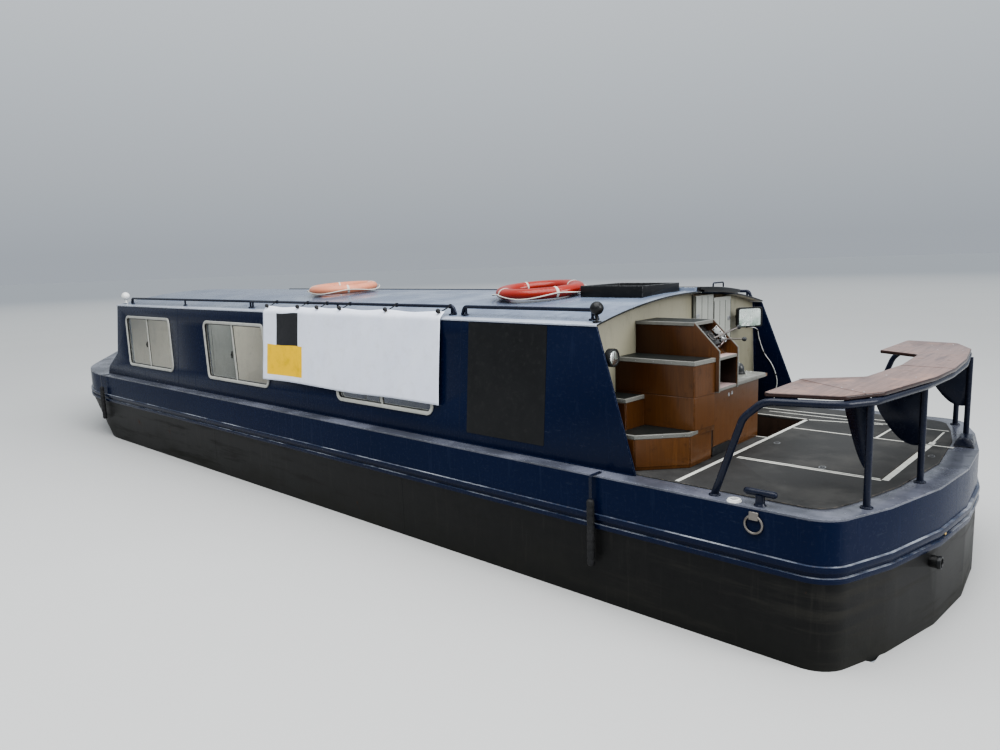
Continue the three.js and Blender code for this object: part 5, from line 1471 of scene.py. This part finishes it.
def lamps():
    """The square work lamp, the round side lamp and the two ball lamps"""
    arm = moved(ROOF_AFT - 0.020, -0.910, DECK_TOP + 0.835)
    # The lamp's own X is to port, its Y down and its Z aft, before it turns
    aft = Matrix(((0, 0, -1, 0), (1, 0, 0, 0), (0, -1, 0, 0), (0, 0, 0, 1)))
    turn = arm @ Matrix.Rotation(-0.62, 4, "Z") @ aft
    corners = eased(oblong(-0.118, -0.086, 0.118, 0.086), 0.022, True, 5)

    def lofted(*sections):
        """A form through the lamp's outline, scaled and moved out"""
        shape = Shape()
        shape.skin([[turn @ Vector((p.x * scale, p.y * scale, out)) for p in corners]
                    for scale, out in sections])
        return shape

    shell = lofted((0.55, 0.002), (0.80, 0.010), (0.95, 0.032), (0.97, 0.060), (1.0, 0.062), (1.0, 0.074),
                   (0.96, 0.0755), (0.88, 0.074), (0.86, 0.060), (0.50, 0.050))
    for k in range(5):
        shell.block(turn @ moved(-0.06 + 0.03 * k, 0, 0.012), (0.004, 0.13, 0.024), 0.001, 1)
    shell.block(arm @ moved(0.045, -0.005, 0), (0.086, 0.036, 0.022), 0.003)
    shell.block(turn @ moved(0.0, 0.0, -0.008), (0.040, 0.076, 0.026), 0.003)
    shell.piece("work_lamp_housing", "black_paint", stands_for="work_lamp")
    bowl = lofted((0.845, 0.070), (0.855, 0.072), (0.855, 0.0525), (0.50, 0.052))
    bowl.piece("work_lamp_reflector", REFLECTOR)
    lens = lofted((0.87, 0.0715), (0.875, 0.0735), (0.87, 0.0755))
    lens.piece("work_lamp_lens", clear_glass("lamp_glass", (0.95, 0.98, 0.96), 0.10), slot="window_glass")

    y, z = 1.232, DECK_TOP + 0.730
    side_lamp = facing((ROOF_AFT - 0.070 - 0.025, y, z), (-1, 0, 0), (0, 1, 0))
    ring = Shape().turned([(0, -0.050), (0.050, -0.050), (0.060, -0.044), (0.062, -0.030), (0.062, -0.002),
                           (0.059, 0.0), (0.050, 0.0), (0.047, -0.006), (0, -0.006)], side_lamp, 36)
    ring.block(moved(ROOF_AFT - 0.0475, y + 0.0485, z), (0.045, 0.037, 0.020), 0.003)
    ring.piece("wing_lamp_ring", "black_plastic", stands_for="wing_lamp")
    face = [(0, -0.007), (0.048, -0.007), (0.047, -0.003), (0.036, 0.001), (0.018, 0.003), (0, 0.0035)]
    Shape().turned(face, side_lamp, 32).piece("wing_lamp_lens", REFLECTOR)
    for name, x, y, radius, look in (("aft", ROOF_AFT + 0.030, 1.250, 0.046, "black_paint"),
                                     ("fore", ROOF_FORE - 0.040, 1.190, 0.052, "white_plastic")):
        profile = [(0, 0), (0.030, 0), (0.030, 0.004), (0.012, 0.007), (0.009, 0.012), (0.009, 0.05)]
        start = math.asin(0.0095 / radius) - math.pi / 2
        for k in range(13):
            a = start + (math.pi / 2 - start) * k / 12.0
            bulge = 1.03 if 5 <= k <= 6 else 1.0
            across = max(0.0, radius * bulge * math.cos(a)) if k < 12 else 0
            profile.append((across, 0.0905 + radius * math.sin(a)))
        ball = Shape().turned(profile, moved(x, y, roof_height(y) + 0.002), 32)
        ball.piece(f"corner_lamp_{name}_ball", look, stands_for=f"corner_lamp_{name}")


def lamp_lead():
    """The work lamp's lead, clipped to the bulkhead and the wing, down to a gland in the deck"""
    at_lamp = [(0.010, -0.917, 0.794), (0.012, -0.918, 0.768), (0.040, -0.935, 0.748), (0.062, -0.990, 0.738),
               (0.062, -1.120, 0.726), (0.058, -1.220, 0.712), (0.050, -1.270, 0.702)]
    on_wing = [(0.036, 0.680), (0.024, 0.610), (-0.020, 0.477), (-0.089, 0.377), (-0.129, 0.278),
               (-0.140, 0.200), (-0.122, 0.120)]
    wing = [(x, -(SIDE_Y - 0.014 - LEAN * z - 0.009), z) for x, z in on_wing]
    route = [Vector((ROOF_AFT + x, y, DECK_TOP + z)) for x, y, z in at_lamp + wing + [(-0.112, -1.332, 0.018)]]
    lead = Shape().bar(smooth_path(route, 6), 0.004, 10)
    gland = [(0, -0.011), (0.011, -0.011), (0.011, -0.004), (0.009, 0.0), (0.0065, 0.010), (0.0045, 0.022),
             (0, 0.022)]
    lead.turned(gland, moved(*route[-1]) @ moved(0, 0, 0.001), 20)
    lead.piece("lamp_lead_run", "white_plastic", stands_for="lamp_lead")
    clips = Shape()
    for k, out in ((4, (-1, 0, 0)), (7, (0, 1, 0)), (9, (0, 1, 0)), (11, (0, 1, 0)), (13, (0, 1, 0))):
        way = route[k + 1] - route[k - 1]
        clips.block(facing(route[k], out, way), (0.012, 0.022, 0.0105), 0.002)
    clips.piece("lamp_lead_clips", "black_plastic")


RAIL_Y, RAIL_HIGH, RAIL_BEND, RAIL_BUTT = 1.200, 0.066, 0.040, 0.024
RAILS = (("aft", 0.060, 1.340, True, True, 2), ("middle", 1.420, 4.5297, True, False, 3),
         ("fore", 4.5303, 7.640, False, True, 3))


def handrails():
    """Three lengths on each side, bent down at the free ends, on short posts with screwed feet"""
    foot = roof_height(RAIL_Y) + 0.003
    z = roof_height(RAIL_Y) + RAIL_HIGH
    flange = [(0, -0.004), (0.026, -0.004), (0.026, 0.001), (0.023, 0.004), (0.012, 0.006), (0.0115, 0.011),
              (0, 0.011)]
    for side, hand in SIDES:
        def at(x, height, y=hand * RAIL_Y):
            """A place over the rail's line"""
            return Vector((ROOF_AFT + x, y, height))

        screws = []
        for name, x0, x1, bent_aft, bent_fore, posts in RAILS:
            aft = [at(x0, foot + 0.004), at(x0 + RAIL_BEND * 0.6, z)] if bent_aft else [at(x0, z)]
            fore = [at(x1 - RAIL_BEND * 0.6, z), at(x1, foot + 0.004)] if bent_fore else [at(x1, z)]
            rail = Shape().bar(eased(aft + fore, 0.035), 0.0138, 16)
            first = x0 + (RAIL_BEND if bent_aft else RAIL_BUTT)
            last = x1 - (RAIL_BEND if bent_fore else RAIL_BUTT)
            for k in range(posts):
                x = first + (last - first) * k / (posts - 1)
                rail.bar([at(x, foot), at(x, (foot + z) / 2), at(x, z)], 0.010, 12, domed=False)
                rail.turned(flange, moved(*at(x, foot)), 20)
                screws.append(([at(x + end, foot + 0.0032) for end in (-0.019, 0.019)], (0, 0, 1), False))
            solid = f"handrail_{side}_{name}"
            rail.piece(solid + "_bar", "rail_paint", stands_for=solid, smooth=45)
        grown(f"handrail_screws_{side}", screws, SCREWS, "rail_paint", Pitch=0.0379, Width=0.0036,
              Height=0.0022)


RING_RADIUS, RING_TUBE, RING_SQUASH = 0.310, 0.062, 0.75
# The roof's curve under a ring, the angle of the first clip past the diagonal and half a clip's angle
RING_BED, RING_TURN, CLIP_HALF = 5.864, 0.30, 0.036


def life_rings():
    """Moulded ring buoys with pale bands and a looped grab line"""
    for name, x, y, look in (("aft", 1.150, 0.470, "ring_plastic"), ("fore", 4.050, 0.350, FADED_RING)):
        lift = RING_TUBE * RING_SQUASH + RING_RADIUS ** 2 / (2 * RING_BED) + 0.002
        tilt = Matrix.Rotation(-math.asin(y / RING_BED), 4, "X")
        place = moved(ROOF_AFT + x, y, roof_height(y) + lift) @ tilt

        def section(angle, grow, place=place):
            """The ring's section at one angle round it, grown a little"""
            turn = place @ Matrix.Rotation(angle, 4, "Z")
            outline = oval(22, RING_TUBE + grow, RING_TUBE * RING_SQUASH + grow)
            return [turn @ Vector((RING_RADIUS + c, 0, s)) for c, s in outline]

        body = Shape()
        body.skin([section(2 * math.pi * k / 64, -0.001) for k in range(64)], wrap=True)
        body.piece(f"life_ring_{name}_body", look, slot="ring_plastic", stands_for=f"life_ring_{name}",
                   smooth=60)
        bands = Shape()
        for k in range(4):
            start = math.pi / 2 * k + math.pi / 4 + RING_TURN - CLIP_HALF
            swells = (-0.002, 0.0, 0.0006, 0.0006, 0.0006, 0.0, -0.002)
            bands.skin([section(start + CLIP_HALF * j / 3, grow) for j, grow in enumerate(swells)])
        bands.piece(f"life_ring_{name}_clips", ROPE_WHITE, smooth=60)
        line = []
        for k in range(4):
            for j in range(14):
                share = j / 14
                a = math.pi / 2 * (k + share) + math.pi / 4 + RING_TURN
                out = RING_RADIUS + RING_TUBE + 0.006 + 0.030 * math.sin(math.pi * share) ** 0.7
                sag = -0.028 * math.sin(math.pi * share) ** 2
                line.append(place @ Vector((out * math.cos(a), out * math.sin(a), sag)))
        rope = Shape().bar(line, 0.0052, 8, wrap=True)
        rope.piece(f"life_ring_{name}_line", ROPE_WHITE, smooth=60)


FENDER_Y = 1.548


def fenders():
    """Slim rubber fenders hung over the side on flat straps"""
    profile = [(0, 0.700), (0.012, 0.700), (0.020, 0.704), (0.0255, 0.716)]
    for k in range(7):
        z = 0.74 + 0.058 * k
        profile += [(0.0258, z), (0.0238, z + 0.006), (0.0238, z + 0.012), (0.0258, z + 0.018)]
    profile += [(0.0255, 1.134), (0.020, 1.146), (0.012, 1.150), (0, 1.150)]
    for side, hand in SIDES:
        for name, x in (("fore", ROOF_AFT + 8.080), ("aft", ROOF_AFT - 0.110)):
            tube = Shape().turned(profile, moved(x, hand * FENDER_Y, 0), 22)
            solid = f"fender_{side}_{name}"
            tube.piece(solid + "_tube", "fender_rubber", stands_for=solid, smooth=50)
            strap = Shape()
            top = DECK_TOP + deck_lift(x) + 0.006
            hung = hand * (FENDER_Y - 0.003)
            path = eased([(hand * 1.430, top), (hung, top), (hung, 1.140)], 0.016)
            rows = []
            for k, p in enumerate(path):
                way = (path[min(k + 1, len(path) - 1)] - path[max(k - 1, 0)]).normalized()
                normal = Vector((way.y, -way.x)) * -hand
                rows.append([(x + dx, p.x + normal.x * t, p.y + normal.y * t)
                             for dx, t in oblong(-0.012, -0.0018, 0.012, 0.0018)])
            strap.skin(rows)
            strap.piece(solid + "_strap", "rail_paint")


studs()
small_deck_parts()
lamps()
lamp_lead()
handrails()
life_rings()
fenders()

# Saloon: the floor, two benches and their pads

SALOON_FLOOR = 0.200
BENCH_X = (-2.680, 3.020)
PADS = 4
PAD_GAP = 0.012
# Depth and thickness of the pads
SEAT_PAD, BACK_PAD = (0.395, 0.062), (0.360, 0.052)


def blown(source, name, pressure=4.0, cap=0.010, steps=20):
    """The source filled out like a stuffed cushion. It swells by no more than the cap"""
    made = bpy.data.objects.new(name, source)
    bpy.context.scene.collection.objects.link(made)
    remesh = made.modifiers.new("even", "REMESH")
    remesh.mode = "VOXEL"
    remesh.voxel_size = 0.014
    graph = bpy.context.evaluated_depsgraph_get()
    even = bpy.data.meshes.new_from_object(made.evaluated_get(graph), depsgraph=graph)
    made.modifiers.clear()
    made.data = even
    start = [vert.co.copy() for vert in even.vertices]
    cloth = made.modifiers.new("fill", "CLOTH")
    cloth.settings.use_pressure = True
    cloth.settings.uniform_pressure_force = pressure
    cloth.settings.effector_weights.gravity = 0
    cloth.point_cache.frame_start = 1
    cloth.point_cache.frame_end = steps
    for step in range(1, steps + 1):
        bpy.context.scene.frame_set(step)
    graph = bpy.context.evaluated_depsgraph_get()
    shaped = bpy.data.meshes.new_from_object(made.evaluated_get(graph), depsgraph=graph)
    made.modifiers.clear()
    bpy.context.scene.frame_set(1)
    for vert, before in zip(shaped.vertices, start):
        move = vert.co - before
        if move.length > cap:
            vert.co = before + move * (cap / move.length)
    made.data = shaped
    result = made.data
    bpy.data.objects.remove(made)
    return result


def pad_mesh(width, depth, thick):
    """A slack cushion cover: crowned, with its sides pulled in between the corners"""
    shape = Shape()
    corners = eased(oblong(-width / 2, -depth / 2, width / 2, depth / 2), 0.035, True, 4)
    section = ((0.020, -thick / 2), (0.004, -thick / 2 + 0.010), (0.0, -thick / 4), (0.002, thick / 4),
               (0.006, thick / 2 - 0.012), (0.024, thick / 2))
    shape.skin([[(p.x * (1 - 2 * inset / width), p.y * (1 - 2 * inset / depth), z) for p in corners]
                for inset, z in section])
    bmesh.ops.recalc_face_normals(shape.bm, faces=shape.bm.faces)
    mesh = bpy.data.meshes.new("pad_cover")
    shape.bm.to_mesh(mesh)
    shape.bm.free()
    return mesh


def benches():
    """The saloon's floor and its two boxed benches with stuffed, welted pads on seats and backs"""
    softened("cabin_floor", "varnished_wood", 0.002, grain=0)
    long = BENCH_X[1] - BENCH_X[0]
    middle = (BENCH_X[0] + BENCH_X[1]) / 2
    wide = long / PADS - PAD_GAP
    sources = {kind: blown(pad_mesh(wide - 0.012, *size), kind + "_pad_source")
               for kind, size in (("seat", SEAT_PAD), ("back", BACK_PAD))}
    for side, hand in SIDES:
        box = Shape()
        box.block(moved(middle, hand * 1.115, SALOON_FLOOR + 0.19), (long, 0.43, 0.376), 0.004)
        box.block(moved(middle, hand * 1.318, SALOON_FLOOR + 0.45), (long, 0.022, 0.896), 0.004)
        for k in range(PADS + 1):
            x = BENCH_X[0] + 0.02 + (long - 0.04) * k / PADS
            box.block(moved(x, hand * 0.898, SALOON_FLOOR + 0.19), (0.040, 0.012, 0.34), 0.002)
        box.piece(f"bench_{side}_box", "varnished_wood", grain=2, stands_for=f"bench_{side}")
        upright = Matrix.Rotation(hand * math.radians(84), 4, "X")
        welts = []
        for k in range(PADS):
            x = BENCH_X[0] + (k + 0.5) * long / PADS
            for kind, at, depth in (
                    ("seat", moved(x, hand * 1.085, SALOON_FLOOR + 0.412), SEAT_PAD[0]),
                    ("back", moved(x, hand * 1.262, SALOON_FLOOR + 0.672) @ upright, BACK_PAD[0])):
                mesh = sources[kind].copy()
                mesh.transform(at)
                name = f"bench_{side}_{kind}_pad_{k + 1}"
                pad = dressed(name, mesh, "bench_cloth", "boat", "bench_cloth", smooth=60)
                half, deep = wide / 2 - 0.012, depth / 2 - 0.006
                rim = eased(oblong(-half, -deep, half, deep), 0.035, True, 4)
                welts.append(([at @ Vector((p.x, p.y, 0.022)) for p in rim], (0, 0, 1), True))
        grown(f"bench_{side}_welts", welts, BAR, "bench_cloth", Radius=0.004, Sides=8)


# The blank banner on the port side. Places are ahead of the roof's aft corner and above the deck

BANNER_AFT, BANNER_FORE, BANNER_LOW, BANNER_HIGH, BANNER_OUT = 1.472, 4.103, 0.264, 0.942, 0.0257
# The sheet's lengths over the roof's edge and in the hem that the ties pull, and how far in the eyelets are
TURNED, HEM, EYELET_IN = 0.0228, 0.062, 0.018
# How far along the sheet each tie is
TIES_AT = (0.018, 0.268, 0.517, 0.652, 0.775, 0.986)


def banner():
    """A woven sheet tied to the rail: it sags between its ties and lies in soft waves"""
    columns, rows = 132, 40
    wide, hung = BANNER_FORE - BANNER_AFT, BANNER_HIGH - BANNER_LOW
    rail_z = roof_height(RAIL_Y) + RAIL_HIGH
    lip = Vector((0, 1.314, 2.2635))
    pulled = (Vector((0, RAIL_Y + 0.012, rail_z + 0.014)) - lip).normalized()
    tall = hung + TURNED + HEM

    def point(u, v):
        """The sheet's place at one share of its width and height"""
        last = next((t for t in reversed(TIES_AT) if t <= u), 0.0)
        ahead = next((t for t in TIES_AT if t > u), 1.0)
        sag = 0.30 * (ahead - last) * wide * 0.09 * math.sin(math.pi * (u - last) / (ahead - last)) ** 2
        up = v * (tall - sag)
        free = max(0.0, 1 - up / hung)
        taut = math.sin(math.pi * min(1.0, 1.15 * free + 0.06)) if free < 0.4 else 1.0
        wave = (0.0030 * math.sin(6.1 * u * 2 * math.pi + 0.7) * (1 - free) +
                0.0028 * math.sin(2.3 * u * 2 * math.pi + 4.0 * (1 - free))) * taut
        curl = 0.0035 * math.sin(3.1 * u * 2 * math.pi) * free ** 2
        x = ROOF_AFT + BANNER_AFT + wide * u
        z = BANNER_LOW + min(up, hung) + 0.006 * free * math.sin(3 * math.pi * u + 0.4)
        at = on_side(1, x, z, BANNER_OUT + wave + curl)
        if up <= hung:
            return at
        share = min(1.0, (up - hung) / TURNED)
        at = at.lerp(Vector((x, lip.y, lip.z)), share) + Vector((0, 0.0022, 0)) * math.sin(math.pi * share)
        return at + pulled * max(0.0, up - hung - TURNED)

    bm = bmesh.new()
    grid = [[bm.verts.new(point(i / columns, j / rows)) for i in range(columns + 1)] for j in range(rows + 1)]
    cloth_map = bm.loops.layers.uv.new("cloth")
    for j in range(rows):
        for i in range(columns):
            face = bm.faces.new((grid[j][i], grid[j][i + 1], grid[j + 1][i + 1], grid[j + 1][i]))
            for loop, (di, dj) in zip(face.loops, ((0, 0), (1, 0), (1, 1), (0, 1))):
                loop[cloth_map].uv = ((i + di) / columns * wide, (j + dj) / rows * tall)
    bmesh.ops.recalc_face_normals(bm, faces=bm.faces)
    if sum(f.normal.y for f in bm.faces) < 0:
        bmesh.ops.reverse_faces(bm, faces=bm.faces)
    mesh = bpy.data.meshes.new("banner_sheet")
    bm.to_mesh(mesh)
    bm.free()
    sheet = dressed("banner_sheet", mesh, "banner_cloth", "boat", "banner_cloth", "banner", smooth=80)
    thick = sheet.modifiers.new("cloth_thickness", "SOLIDIFY")
    thick.thickness = 0.0010
    thick.offset = 0.0

    # Brass eyelets, and a toggle at each with two strands to and round the rail, a little aft of it
    eyelets, strands, toggles = Shape(), Shape(), []
    face_out = Vector((0, pulled.z, -pulled.y))
    rim = [(0.0055, 0.0), (0.0060, 0.0014), (0.0085, 0.0018), (0.0105, 0.0008), (0.0108, -0.0004),
           (0.0055, -0.0004), (0.0055, 0.0)]
    round_rail = ((0.0170, -0.004), (0.010, -0.0145), (-0.0140, -0.009), (-0.0120, 0.0110), (0.0050, 0.0165),
                  (0.0175, 0.0060))
    for u in TIES_AT:
        at = point(u, 1 - EYELET_IN / tall)
        for side in (1, -1):
            eyelets.turned(rim, facing(at, face_out, (1, 0, 0)) @ Matrix.Scale(side, 4, (0, 0, 1)), 18)
        ball = at + face_out * 0.0215
        toggles.append(([ball + Vector((end, 0, 0)) for end in (-0.0005, 0.0005)], face_out, False))
        for lean in (-0.006, 0.006):
            shift = Vector((lean, 0, 0))
            strand = [ball + shift * 0.3, at + shift * 0.4, at - face_out * 0.004 + pulled * 0.012 + shift]
            strand += [(at.x - 0.045 + lean, RAIL_Y + y, rail_z + z) for y, z in round_rail]
            strands.bar(smooth_path(strand, 5), 0.0026, 6)
    hooks = eyelets.piece("banner_eyelets", BRASS)
    ropes = strands.piece("banner_ties", RUBBER)
    knobs = grown("banner_toggles", toggles, KNOBS, RUBBER, Pitch=0.01, Ball=0.0190)


benches()
banner()

# The studio and the camera


FLOOR_REACH = 220.0
FAR_TONE = (0.283, 0.298, 0.320)
# Name, kind, place, aim, size (a sun's is its angle) and strength of each light
LIGHTS = (
    ("sky_panel", "AREA", (-5.0, 3.0, 12.0), (-1.5, 0, 1.2), (12.0, 12.0), 1700.0),
    ("stern_light", "SUN", (-13.0, -2.0, 5.2), (-4.0, 0, 1.2), 0.60, 1.75),
    ("cabin_panel", "AREA", (0.0, 0.0, 2.235), (0.0, 0, 0), (6.6, 1.2), 60.0),
)


def studio():
    """A pale floor at the waterline, open where the hull stands in it, under a soft sky. A panel overhead and a
    soft low light from astern light the boat, and a panel under the roof lights the saloon"""
    bm = bmesh.new()
    hull_line = [Vector(p) for p in ((-6.02, 1.2), (-3.9, 1.46), (3.6, 1.46), (4.6, 1.0), (5.7, 0.0))]
    hull_line += [Vector((p.x, -p.y)) for p in reversed(hull_line[:-1])]
    inner, outer = [], []
    steps = 12
    count = steps * len(hull_line)
    for k in range(count):
        start, end = hull_line[k // steps], hull_line[(k // steps + 1) % len(hull_line)]
        at = start.lerp(end, k % steps / steps)
        inner.append(bm.verts.new((*at, WATERLINE)))
        outer.append(bm.verts.new((*at.normalized() * FLOOR_REACH, WATERLINE)))
    for k in range(count):
        bm.faces.new((inner[k], inner[(k + 1) % count], outer[(k + 1) % count], outer[k]))
    bmesh.ops.recalc_face_normals(bm, faces=bm.faces)
    mesh = bpy.data.meshes.new("studio_floor")
    bm.to_mesh(mesh)
    bm.free()
    finish = Finish("studio_floor", Roughness=0.62)
    across, along, _ = finish.axes()
    far = (across * across + along * along).between(300.0, 5200.0)
    near_tone = finish.mixed(finish.noise(0.4, 3), (0.46, 0.46, 0.455), (0.49, 0.49, 0.485))
    mesh.materials.append(finish.done(Base_Color=finish.mixed(far, near_tone, FAR_TONE)))
    floor = bpy.data.objects.new("studio_floor", mesh)
    scene = bpy.context.scene
    scene.collection.objects.link(floor)

    scene.view_settings.look = "AgX - Medium High Contrast"
    scene.view_settings.exposure = 0.25
    world = bpy.data.worlds.new("studio_sky")
    scene.world = world
    world.use_nodes = True
    sky = world.node_tree.nodes
    links = world.node_tree.links
    split = sky.new("ShaderNodeSeparateXYZ")
    links.new(sky.new("ShaderNodeTexCoord").outputs["Generated"], split.inputs[0])
    ramp = sky.new("ShaderNodeValToRGB")
    stops = ((0.02, (0.36, 0.39, 0.43)), (0.70, (0.92, 0.97, 1.0)))
    for element, (at, colour) in zip(ramp.color_ramp.elements, stops):
        element.position = at
        element.color = (*colour, 1.0)
    links.new(split.outputs[2], ramp.inputs[0])
    links.new(ramp.outputs[0], sky["Background"].inputs["Color"])
    sky["Background"].inputs["Strength"].default_value = 0.85
    for name, kind, at, aim, size, power in LIGHTS:
        light = bpy.data.lights.new(name, kind)
        if kind == "SUN":
            light.angle = size
        else:
            light.shape = "RECTANGLE"
            light.size, light.size_y = size
        light.energy = power
        lamp = bpy.data.objects.new(name, light)
        scene.collection.objects.link(lamp)
        lamp.visible_camera = False
        turn = (Vector(aim) - Vector(at)).to_track_quat("-Z", "Y")
        lamp.matrix_world = moved(*at) @ turn.to_matrix().to_4x4()


def photo_camera():
    """The camera stands where the photograph's straight lines put it"""
    yaw, pitch, roll = (math.radians(a) for a in (47.401, 8.728, 1.883))
    ahead = Vector((math.cos(yaw) * math.cos(pitch), -math.sin(yaw) * math.cos(pitch), -math.sin(pitch)))
    level = ahead.cross(Vector((0, 0, 1))).normalized()
    upright = level.cross(ahead)
    right = math.cos(roll) * level - math.sin(roll) * upright
    up = math.sin(roll) * level + math.cos(roll) * upright
    data = bpy.data.cameras.new("photo_camera")
    data.sensor_fit = "HORIZONTAL"
    data.sensor_width = 36.0
    data.lens = 27.04
    data.clip_end = 300.0
    camera = bpy.data.objects.new("photo_camera", data)
    bpy.context.scene.collection.objects.link(camera)
    turn = Matrix((right, up, -ahead)).transposed().to_4x4()
    camera.matrix_world = moved(-7.134, 5.352, 2.694) @ turn
    bpy.context.scene.camera = camera


studio()
photo_camera()
